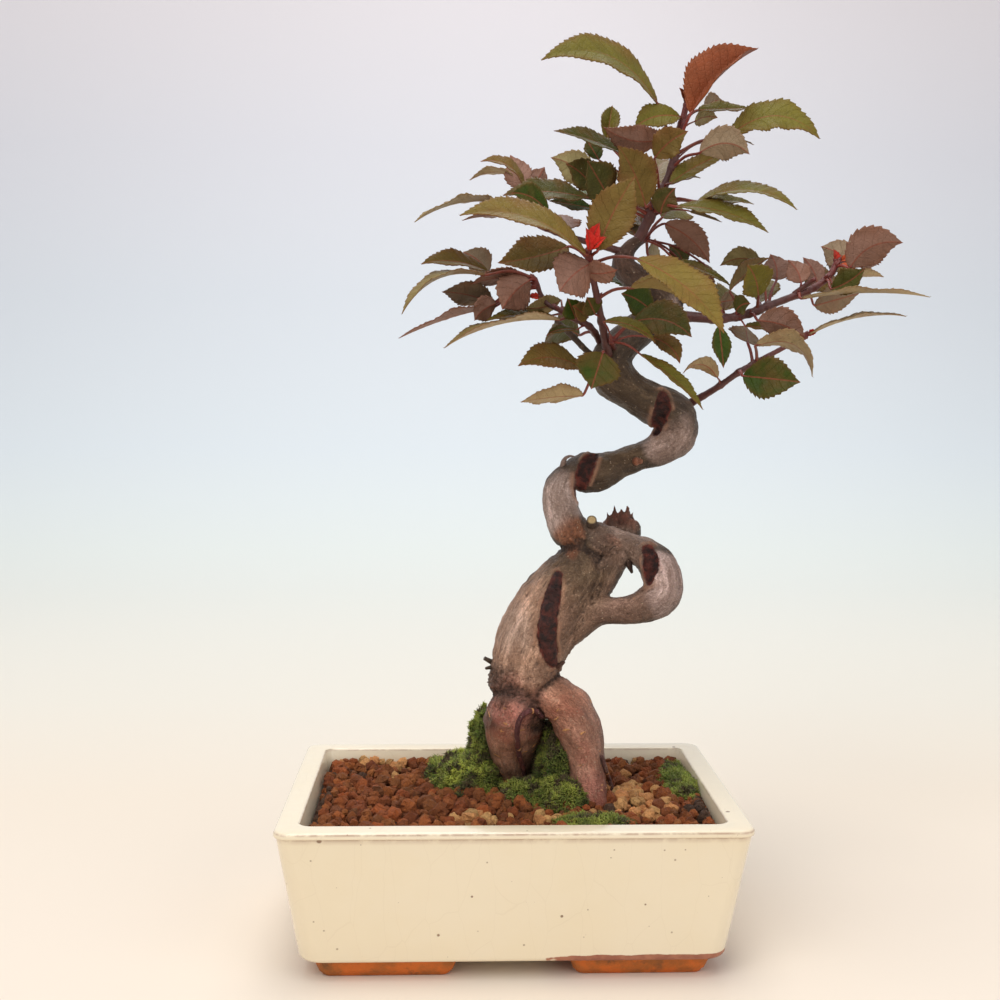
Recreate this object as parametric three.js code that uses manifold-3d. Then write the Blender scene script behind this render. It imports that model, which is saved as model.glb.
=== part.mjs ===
// Apple bonsai in a rectangular glazed pot.
// Millimetres, +Z up, front towards -Y. The drawing has the pot's middle at x = y = 0 and stands
// on z = 0; the last step moves the group so that its own box is centred over the origin.
//
// Places in the tree are written [across, up, back]. Across and up are read in the upright plane
// through the pot's middle, looking from EYE, and back is the true distance behind that plane.

import * as THREE from 'three';
import { mergeVertices } from 'three/addons/utils/BufferGeometryUtils.js';
import Module from 'manifold-3d';

const wasm = await Module();
wasm.setup();

// Driving dimensions
const POT = {
  length: 160, depth: 105, height: 54.2, wall: 8.1, innerTaper: 5, outerTaper: 6.9,
  lip: 2.6, overhang: 0.6, edge: 0.8, bevel: 1.4, bottom: 6.8, floor: 5.6, corner: 5,
  baseCorner: 8, roomCorner: 3.6, holeRadius: 6, holeX: 38,
};
const FOOT = { long: 49.5, wide: 30, arm: 15, slope: 2.6, insetX: 5, insetY: 2.5, sunk: 1 };
const SCREEN = { side: 20, thick: 0.8, hole: 6, pitch: 8 };
const SOIL = { level: 49.2, mound: 2.4, moundX: 16, moundRadius: 34, cell: 9, grain: 1.2, seed: 4711 };
const EYE = new THREE.Vector3(-21.5, -441, 196.3);
const GAP = 0.3;
const FLUTE = { depth: 0.05, count: 3, wind: 0.5, fromRadius: 4 };
const BARK_STEP = 7;
const BLADE_THICK = 0.66;
const STALK = { width: 1.2, thick: 0.9, bow: 0.1 };
const TEETH = { short: 3, long: 4, longFrom: 24, lean: 0.72, peak: 1.05, notch: 0.9 };
const SMALLEST = 0.05;

// Colours
const GLAZE = '#ece0c6';
const PLASTIC = '#3a3f38';
const AKADAMA = '#7a4428';
const MOSS_GREEN = '#5d7a24';
const BARK = '#6d5a50';
const FOLIAGE = '#6b6a34';

const { degToRad, lerp } = THREE.MathUtils;
const seen = (across, up, back) =>
  new THREE.Vector3(across, 0, up).sub(EYE).multiplyScalar(1 - back / EYE.y).add(EYE);

// Solids and meshes
function geometryOf(positions, faces) {
  const geometry = new THREE.BufferGeometry();
  geometry.setAttribute('position', new THREE.Float32BufferAttribute(positions, 3));
  geometry.setIndex(faces);
  return geometry;
}

function solidOf(geometry) {
  const bare = geometry.clone();
  bare.deleteAttribute('normal');
  bare.deleteAttribute('uv');
  const merged = mergeVertices(bare, 1e-4);
  return new wasm.Manifold(new wasm.Mesh({
    numProp: 3,
    vertProperties: new Float32Array(merged.attributes.position.array),
    triVerts: new Uint32Array(merged.index.array),
  }));
}

const joined = (solids) => solids.reduce((all, solid) => all.add(solid));

// The main body of a solid, without the scraps that a cut leaves.
const mainBody = (solid) =>
  solid.decompose().reduce((a, b) => (a.volume() > b.volume() ? a : b));

const group = new THREE.Group();
function addMesh(name, solid, color, roughness) {
  const mesh = mainBody(solid).simplify(SMALLEST).getMesh();
  const geometry = geometryOf(Array.from(mesh.vertProperties), Array.from(mesh.triVerts));
  geometry.computeVertexNormals();
  const material = new THREE.MeshStandardMaterial({ color, roughness, metalness: 0 });
  const part = new THREE.Mesh(geometry, material);
  part.name = name;
  group.add(part);
}

// Closed body through a stack of rings with equal numbers of points, anticlockwise from above.
function stack(rings) {
  const count = rings[0].length;
  const points = rings.flat();
  const faces = [];
  for (let i = 0; i + 1 < rings.length; i += 1) {
    for (let j = 0; j < count; j += 1) {
      const a = i * count + j;
      const b = i * count + ((j + 1) % count);
      faces.push(a, b, b + count, a, b + count, a + count);
    }
  }
  const middle = (ring) =>
    ring.reduce((sum, p) => sum.add(p), new THREE.Vector3()).divideScalar(count);
  const low = points.length;
  const top = low - count;
  points.push(middle(rings[0]), middle(rings[rings.length - 1]));
  for (let j = 0; j < count; j += 1) {
    const next = (j + 1) % count;
    faces.push(low, next, j, low + 1, top + j, top + next);
  }
  return solidOf(geometryOf(points.flatMap((p) => [p.x, p.y, p.z]), faces));
}

// Rounded rectangle at height z, smaller than the pot's rim by inset on every side.
function rimRing(inset, z, radius) {
  const steps = 4;
  const x = POT.length / 2 - inset - radius;
  const y = POT.depth / 2 - inset - radius;
  return [[x, y], [-x, y], [-x, -y], [x, -y]].flatMap(([cx, cy], corner) =>
    Array.from({ length: steps }, (_, k) => {
      const angle = (corner + k / (steps - 1)) * Math.PI / 2;
      return new THREE.Vector3(cx + radius * Math.cos(angle), cy + radius * Math.sin(angle), z);
    }));
}

// Block with a smaller underside, from its middle, its size in plan and its two heights.
function taperedBlock(x, y, long, wide, low, high, slope) {
  const ring = (shrink, z) => [[-1, -1], [1, -1], [1, 1], [-1, 1]].map(([sx, sy]) =>
    new THREE.Vector3(x + sx * (long / 2 - shrink), y + sy * (wide / 2 - shrink), z));
  return stack([ring(slope, low), ring(0, high)]);
}

// Pot: tapered walls with a raised lip, a flat floor with two drain holes, four corner feet.
const floorTop = POT.bottom + POT.floor;
const wallInset = (z) =>
  POT.wall + POT.innerTaper * (POT.height - z) / (POT.height - floorTop);

function makePot() {
  const lipLow = POT.height - POT.lip;
  const outside = stack([
    rimRing(POT.outerTaper + POT.bevel, POT.bottom, POT.baseCorner - POT.bevel),
    rimRing(POT.outerTaper, POT.bottom + POT.bevel, POT.baseCorner),
    rimRing(POT.overhang, lipLow, POT.corner),
    rimRing(0, lipLow + POT.overhang, POT.corner),
    rimRing(0, POT.height - POT.edge, POT.corner),
    rimRing(POT.edge, POT.height, POT.corner - POT.edge),
  ]);
  const inside = stack([
    rimRing(wallInset(floorTop), floorTop, POT.roomCorner),
    rimRing(wallInset(POT.height - POT.edge), POT.height - POT.edge, POT.roomCorner),
    rimRing(POT.wall - POT.edge, POT.height, POT.roomCorner),
    rimRing(POT.wall - POT.edge, 2 * POT.height, POT.roomCorner),
  ]);
  let pot = outside.subtract(inside);
  const edgeX = POT.length / 2 - POT.outerTaper - FOOT.insetX;
  const edgeY = POT.depth / 2 - POT.outerTaper - FOOT.insetY;
  const high = POT.bottom + FOOT.sunk;
  for (const sx of [-1, 1]) {
    for (const sy of [-1, 1]) {
      const x = sx * (edgeX - FOOT.long / 2);
      const y = sy * (edgeY - FOOT.arm / 2);
      pot = pot.add(taperedBlock(x, y, FOOT.long, FOOT.arm, 0, high, FOOT.slope));
      const armX = sx * (edgeX - FOOT.arm / 2);
      const armY = sy * (edgeY - FOOT.wide / 2);
      pot = pot.add(taperedBlock(armX, armY, FOOT.arm, FOOT.wide, 0, high, FOOT.slope));
    }
  }
  for (const x of [-POT.holeX, POT.holeX]) {
    const drill = new THREE.CylinderGeometry(POT.holeRadius, POT.holeRadius, 3 * POT.floor, 14);
    drill.rotateX(Math.PI / 2);
    drill.translate(x, 0, floorTop - POT.floor / 2);
    pot = pot.subtract(solidOf(drill));
  }
  return pot;
}

// The room inside the pot, clear of its walls by the gap.
const potRoom = (low, high) => stack([
  rimRing(wallInset(low) + GAP, low, POT.roomCorner),
  rimRing(wallInset(high) + GAP, high, POT.roomCorner),
]);

// Screen that lies over a drain hole, inside the pot.
function makeScreen(x) {
  const block = (side, thick, dx, dy) => {
    const box = new THREE.BoxGeometry(side, side, thick);
    box.translate(x + dx, dy, floorTop + GAP + SCREEN.thick / 2);
    return solidOf(box);
  };
  let screen = block(SCREEN.side, SCREEN.thick, 0, 0);
  for (const dx of [-SCREEN.pitch / 2, SCREEN.pitch / 2]) {
    for (const dy of [-SCREEN.pitch / 2, SCREEN.pitch / 2]) {
      screen = screen.subtract(block(SCREEN.hole, 2 * SCREEN.thick, dx, dy));
    }
  }
  return screen;
}

// Wood: a tube along a smooth path through stations [across, up, back, radius]. Thick wood has
// three low flutes that wind along it. Grow makes the same tube larger on all sides.
const pathOf = (stations) => new THREE.CatmullRomCurve3(
  stations.map(([across, up, back]) => seen(across, up, back)), false, 'centripetal');

function limb(stations, sides, grow = 0) {
  const path = pathOf(stations);
  const spans = stations.length - 1;
  const rings = [];
  let side = new THREE.Vector3(0.31, -0.9, 0.2);
  const addRing = (t, radius, shift) => {
    const ahead = path.getTangent(t);
    const centre = path.getPoint(t).addScaledVector(ahead, shift);
    side = side.clone().addScaledVector(ahead, -side.dot(ahead)).normalize();
    const other = ahead.clone().cross(side);
    const flute = radius > FLUTE.fromRadius ? FLUTE.depth : 0;
    rings.push(Array.from({ length: sides }, (_, j) => {
      const angle = 2 * Math.PI * j / sides;
      const wave = Math.sin(FLUTE.count * angle + FLUTE.wind * rings.length);
      const reach = radius * (1 + flute * wave) + grow;
      return centre.clone().addScaledVector(side, reach * Math.cos(angle))
        .addScaledVector(other, reach * Math.sin(angle));
    }));
  };
  for (let i = 0; i < spans; i += 1) {
    const stretch = path.points[i].distanceTo(path.points[i + 1]);
    const pieces = Math.max(1, Math.round(stretch / BARK_STEP));
    for (let k = 0; k < pieces; k += 1) {
      const radius = lerp(stations[i][3], stations[i + 1][3], k / pieces);
      addRing((i + k / pieces) / spans, radius, i + k === 0 ? -grow : 0);
    }
  }
  addRing(1, stations[spans][3], grow);
  return stack(rings);
}

// Roots, trunk with its loop, bends, broken stump, small stubs and the bare twig.
const LEFT_ROOT = [
  [5, 24.5, 24, 5.6], [3, 47.5, 20, 7.2], [2, 57, 16, 7.9], [1.5, 68.5, 9, 10],
  [1.5, 78, 2, 10.9], [3.2, 85, -2.5, 9.6], [5, 91, -3, 7.2],
];
const RIGHT_ROOT = [
  [35.5, 28.5, -14, 4.4], [33, 41.5, -12, 5.3], [30.5, 49.5, -11, 6], [28.5, 63.5, -8, 7.1],
  [26, 73, -6, 8.2], [22.3, 81, -5, 8.5], [15.5, 86.5, -4, 7.8], [8.5, 92.5, -2, 8],
];
const CURL_ROOT = [
  [12, 79, -4, 1.5], [9.9, 81, -8.5, 1.2], [6.6, 80.9, -10, 1.2], [3.9, 78.4, -9, 1.2],
  [2.8, 73.6, -5.6, 1.2], [3.1, 68.2, -1.4, 1.3], [3.9, 63.8, 2.5, 1.3], [5.3, 59.5, 6, 1.3],
  [6.5, 52, 10.8, 1.3], [7.5, 46, 13, 1.4],
];
const SIDE_ROOT = [
  [32, 66, -9, 1.8], [36.5, 58, -14, 1.4], [38.5, 53, -14, 1.3], [40.5, 46.5, -13, 1.2],
  [41.5, 36, -12, 1.1],
];
const TORSO = [
  [6, 84, 1, 10.8], [5, 92, 0, 11.9], [6, 98, 0, 12.5], [8.5, 106, 0, 13.6],
  [13, 115, 0, 13.9], [18.5, 124, 0, 13.4], [24.2, 133, 0, 11.2], [27, 141, 0, 8],
];
const LOOP = [
  [12, 103.5, -1, 6.2], [17.5, 109, -2, 6.2], [23, 112.5, -4, 6.2], [28.3, 116, -5, 5.4],
  [32.5, 118.3, -7, 4.9], [38.1, 118.6, -8, 4.7], [43.5, 118.8, -9, 5.2], [50, 121, -11, 6.1],
  [55.3, 124.8, -11, 6.9], [56, 129, -10, 7], [54.4, 134, -8, 7], [50, 139.1, -4, 6.2],
  [45, 141.4, -1, 5], [39.9, 142.7, 0, 5.6], [34, 143.6, 1, 6.6], [29.5, 144.5, 0, 7],
  [25, 142, 0, 6.5],
];
// Web of wood in the fork between the torso and the end of the loop.
const WEB = [[28, 124, -1, 6.5], [31, 128, -1, 6.2], [35, 134, -1, 6], [38.5, 139.5, -1, 5.5]];
const UPPER_TRUNK = [
  [28, 139.5, 0, 7], [23.5, 145.5, 0, 6.9], [20.3, 150, 0.5, 6.7], [18.6, 155, 1, 6.4],
  [17.3, 160, 2, 5.9], [17.8, 165, 3, 5.5], [21, 168.8, 4, 5.2], [26, 169.5, 5, 7.8],
  [32, 170, 5, 7.1], [39.5, 173, 5, 5.3], [46.5, 175.5, 5, 4.9], [53, 178, 5, 6.2],
  [59, 183, 4, 8], [60, 188.5, 3, 8], [56.5, 192.5, 1, 7.6], [50, 195, -1, 7.2],
  [42.5, 199, -2, 6.8], [36.5, 204, -2, 7.9], [34.5, 209.5, -1, 7.2], [39.5, 216, 2, 6.5],
  [47, 222, 5, 6.2], [53.5, 226, 8, 6.6], [55, 231, 9, 6.6], [50.5, 235.5, 8, 5.9],
  [44, 239.5, 7, 5.1], [39.5, 244.5, 6, 4.4], [41, 249.5, 6, 2.9], [44.5, 253, 6, 2.2],
];
const STUMP = [[37.5, 141, 8, 6.5], [40, 146, 11, 7.4], [40.6, 150, 13, 7]];
const STUMP_TEETH = [
  [36.5, 152, 9], [40.5, 154, 8], [44.5, 151, 12], [39, 152.5, 17], [43, 152, 17],
];
const SPLINTER = { radius: 2.1, height: 9 };
const SMALL_WOOD = [
  [[31.5, 209.5, -4, 1.4], [26, 214, -7, 1.1], [21, 219, -8, 1.1], [15.5, 224, -8, 1]],
  [[-2, 98, 0, 1.2], [-6.5, 99.5, 0, 1], [-9.5, 101, -1, 0.8]],
  [[18.6, 170.5, 1, 1.6], [18.8, 173.2, 0, 1.4], [20.3, 175.2, 0, 1.1], [22.3, 175.7, 0, 0.7]],
  [[30, 148, -3, 2.2], [29.5, 151, -8, 1.9], [29.5, 152.5, -10, 1.7]],
];
// Old wounds, cut as shallow troughs in the front of the wood.
const WOUNDS = [
  [[17.1, 131.5, -11, 1.8], [14.8, 121, -13, 2.6], [13.7, 113.8, -13.2, 2.7],
    [13.3, 109, -13, 2.7], [14.4, 102.9, -11.5, 2.6], [15.5, 99.6, -8.5, 1.8]],
  [[50, 142.5, -9.5, 2.2], [50.8, 136.5, -14.5, 3.6], [49.6, 130.5, -13.8, 2.6]],
  [[29.8, 176.5, -0.5, 1.8], [27, 172.4, -4, 3.3], [25.6, 166.5, -4, 3.3], [24.5, 161, -1, 1.9]],
  [[55, 198.5, -5.5, 1.8], [54.7, 193.3, -8.6, 3.1], [53.3, 188, -8, 2.7], [52, 184.5, -5, 1.6]],
];

const wood = (grow) => joined([
  limb(LEFT_ROOT, 10, grow), limb(RIGHT_ROOT, 10, grow), limb(TORSO, 11, grow),
  limb(LOOP, 9, grow), limb(WEB, 8, grow), limb(UPPER_TRUNK, 9, grow), limb(STUMP, 8, grow),
  limb(CURL_ROOT, 5, grow), limb(SIDE_ROOT, 5, grow),
  ...SMALL_WOOD.map((piece) => limb(piece, 5, grow)),
]);
const aroundTrunk = wood(GAP);

function makeTrunk() {
  let trunk = wood(0);
  for (const [across, up, back] of STUMP_TEETH) {
    const splinter = new THREE.ConeGeometry(SPLINTER.radius, SPLINTER.height, 5);
    splinter.rotateX(Math.PI / 2);
    splinter.translate(...seen(across, up, back));
    trunk = trunk.add(solidOf(splinter));
  }
  for (const wound of WOUNDS) trunk = trunk.subtract(limb(wound, 8));
  return trunk;
}

// Ground up to a rough top of coarse grains, raised towards the trunk.
function ground(lift) {
  const columns = Math.round(POT.length / SOIL.cell);
  const rows = Math.round(POT.depth / SOIL.cell);
  const size = (rows + 1) * (columns + 1);
  let seed = SOIL.seed;
  const random = () => {
    seed = (seed * 1103515245 + 12345) % 2147483648;
    return seed / 2147483648 - 0.5;
  };
  const positions = [];
  for (const isTop of [false, true]) {
    for (let i = 0; i <= rows; i += 1) {
      for (let j = 0; j <= columns; j += 1) {
        const shake = isTop ? 0.8 * SOIL.cell : 0;
        const x = POT.length * (j / columns - 0.5) + shake * random();
        const y = POT.depth * (i / rows - 0.5) + shake * random();
        const rise = Math.exp(-((x - SOIL.moundX) ** 2 + y ** 2) / SOIL.moundRadius ** 2);
        const height = SOIL.level + SOIL.mound * rise + 2 * SOIL.grain * random() + lift;
        positions.push(x, y, isTop ? height : 0);
      }
    }
  }
  const faces = [];
  const wall = (a, b) => faces.push(a, b, size + b, a, size + b, size + a);
  const turn = columns + 1;
  for (let i = 0; i < rows; i += 1) {
    for (let j = 0; j < columns; j += 1) {
      const a = i * turn + j;
      const b = a + turn;
      faces.push(a, b + 1, a + 1, a, b, b + 1);
      faces.push(size + a, size + a + 1, size + b + 1, size + a, size + b + 1, size + b);
    }
    wall((i + 1) * turn, i * turn);
    wall(i * turn + columns, (i + 1) * turn + columns);
  }
  for (let j = 0; j < columns; j += 1) {
    wall(j, j + 1);
    wall(rows * turn + j + 1, rows * turn + j);
  }
  return solidOf(geometryOf(positions, faces));
}

function makeSoil() {
  let soil = potRoom(floorTop + GAP, POT.height).intersect(ground(0)).subtract(aroundTrunk);
  for (const x of [-POT.holeX, POT.holeX]) {
    const side = SCREEN.side + 2 * GAP;
    const pocket = new THREE.BoxGeometry(side, side, 2 * (SCREEN.thick + 2 * GAP));
    pocket.translate(x, 0, floorTop);
    soil = soil.subtract(solidOf(pocket));
  }
  return soil;
}

// Moss: lumpy cushions [x, y, z, half length, half depth, half height] that lie on the soil.
const MOSS = {
  moss_left: [[-14, 13, 50, 12, 14, 11], [-8, 15, 60, 6, 8, 17], [-22, 22, 50, 8, 9, 6]],
  moss_between: [[15, 2, 52, 8, 12, 24], [17, -14, 50, 9, 8, 10]],
  moss_front: [[28, -32, 49, 13, 10, 4]],
  moss_corner: [[65, 12, 48, 6.5, 20, 5]],
};

function makeMoss(cushions) {
  const solids = cushions.map(([x, y, z, a, b, c]) => {
    const ball = new THREE.IcosahedronGeometry(1, 1);
    const at = ball.attributes.position;
    for (let i = 0; i < at.count; i += 1) {
      const p = new THREE.Vector3().fromBufferAttribute(at, i);
      const lump = 1 + 0.09 * Math.sin(5 * p.x + 1) * Math.cos(6 * p.y)
        + 0.06 * Math.sin(9 * p.z + 4 * p.x);
      at.setXYZ(i, x + a * lump * p.x, y + b * lump * p.y, z + c * lump * p.z);
    }
    return solidOf(ball);
  });
  return joined(solids).subtract(ground(GAP)).subtract(aroundTrunk)
    .intersect(potRoom(floorTop + GAP, 2 * POT.height));
}

// Stems of the leafy shoots, as stations like the wood's.
const STEMS = {
  shoot_top: [
    [[44.5, 253, 6, 2], [48, 260, 5, 1.8], [50.5, 266, 4, 1.6], [53.5, 272, 4, 1.5],
      [56.5, 279.5, 4, 1.4], [58, 288.5, 4, 1.3], [59.5, 294.5, 3, 1.2], [61, 301, 2, 1]],
  ],
  shoot_left_high: [
    [[40, 248.5, 6, 1.5], [31, 251, 4, 1.2], [19.5, 254, 2, 1.1], [11, 257, 2, 1],
      [6.5, 259, 2, 0.9]],
  ],
  shoot_front: [
    [[35, 210, -4, 1.6], [33.5, 216, -11, 1.5], [32.5, 221, -14, 1.4], [31, 228, -20, 1.2],
      [29.5, 235, -26, 1.2], [27.5, 243.5, -31, 1.1], [26.5, 249.5, -34, 1.1]],
  ],
  shoot_left_low: [
    [[33, 213, 1, 1.4], [30, 219, -5, 1.2], [27, 222.5, -11, 1.1], [22, 225, -14, 1],
      [17.5, 227.5, -14, 1], [14, 229.5, -13, 0.9]],
    [[18, 227.5, -14, 0.9], [13, 229.5, -13, 0.8], [10.5, 232, -12, 0.8], [7.5, 239, -12, 0.8]],
  ],
  collar_left: [[[36, 207, 0, 1.2], [32, 209.5, -15, 0.9]]],
  collar_right: [[[37, 213, 0, 1.2], [35.5, 217, -15, 0.9]]],
  shoot_back: [[[40.5, 248.5, 6, 1.2], [48, 254, 17, 0.9]]],
  shoot_knob: [[[53, 229, 9, 1.2], [51.5, 232, 19, 0.9]]],
  branch_right: [
    [[57, 226, 7, 2.2], [64, 226, 3, 2], [75, 225.5, -1, 1.5], [84, 227, -2, 1.4],
      [93, 230.5, -2, 1.4], [102, 234, -1, 1.3], [109, 237, 0, 1.2], [114.5, 241.5, 1, 1.1],
      [117, 246, 2, 1]],
    [[101.5, 234.5, -1, 1], [106, 238, -3, 0.9], [109, 240, -5, 0.8]],
  ],
  branch_right_low: [
    [[60, 191, 4, 1.8], [64, 194.5, 4, 1.7], [70, 198, 0, 1.3], [75.5, 201.5, -6, 1.1],
      [82.5, 206.5, -10, 1.1], [88.5, 210, -9, 1], [95, 213.5, -7, 0.9],
      [100.5, 216.5, -6, 0.9], [106.5, 219.5, -6, 0.8]],
  ],
};

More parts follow.
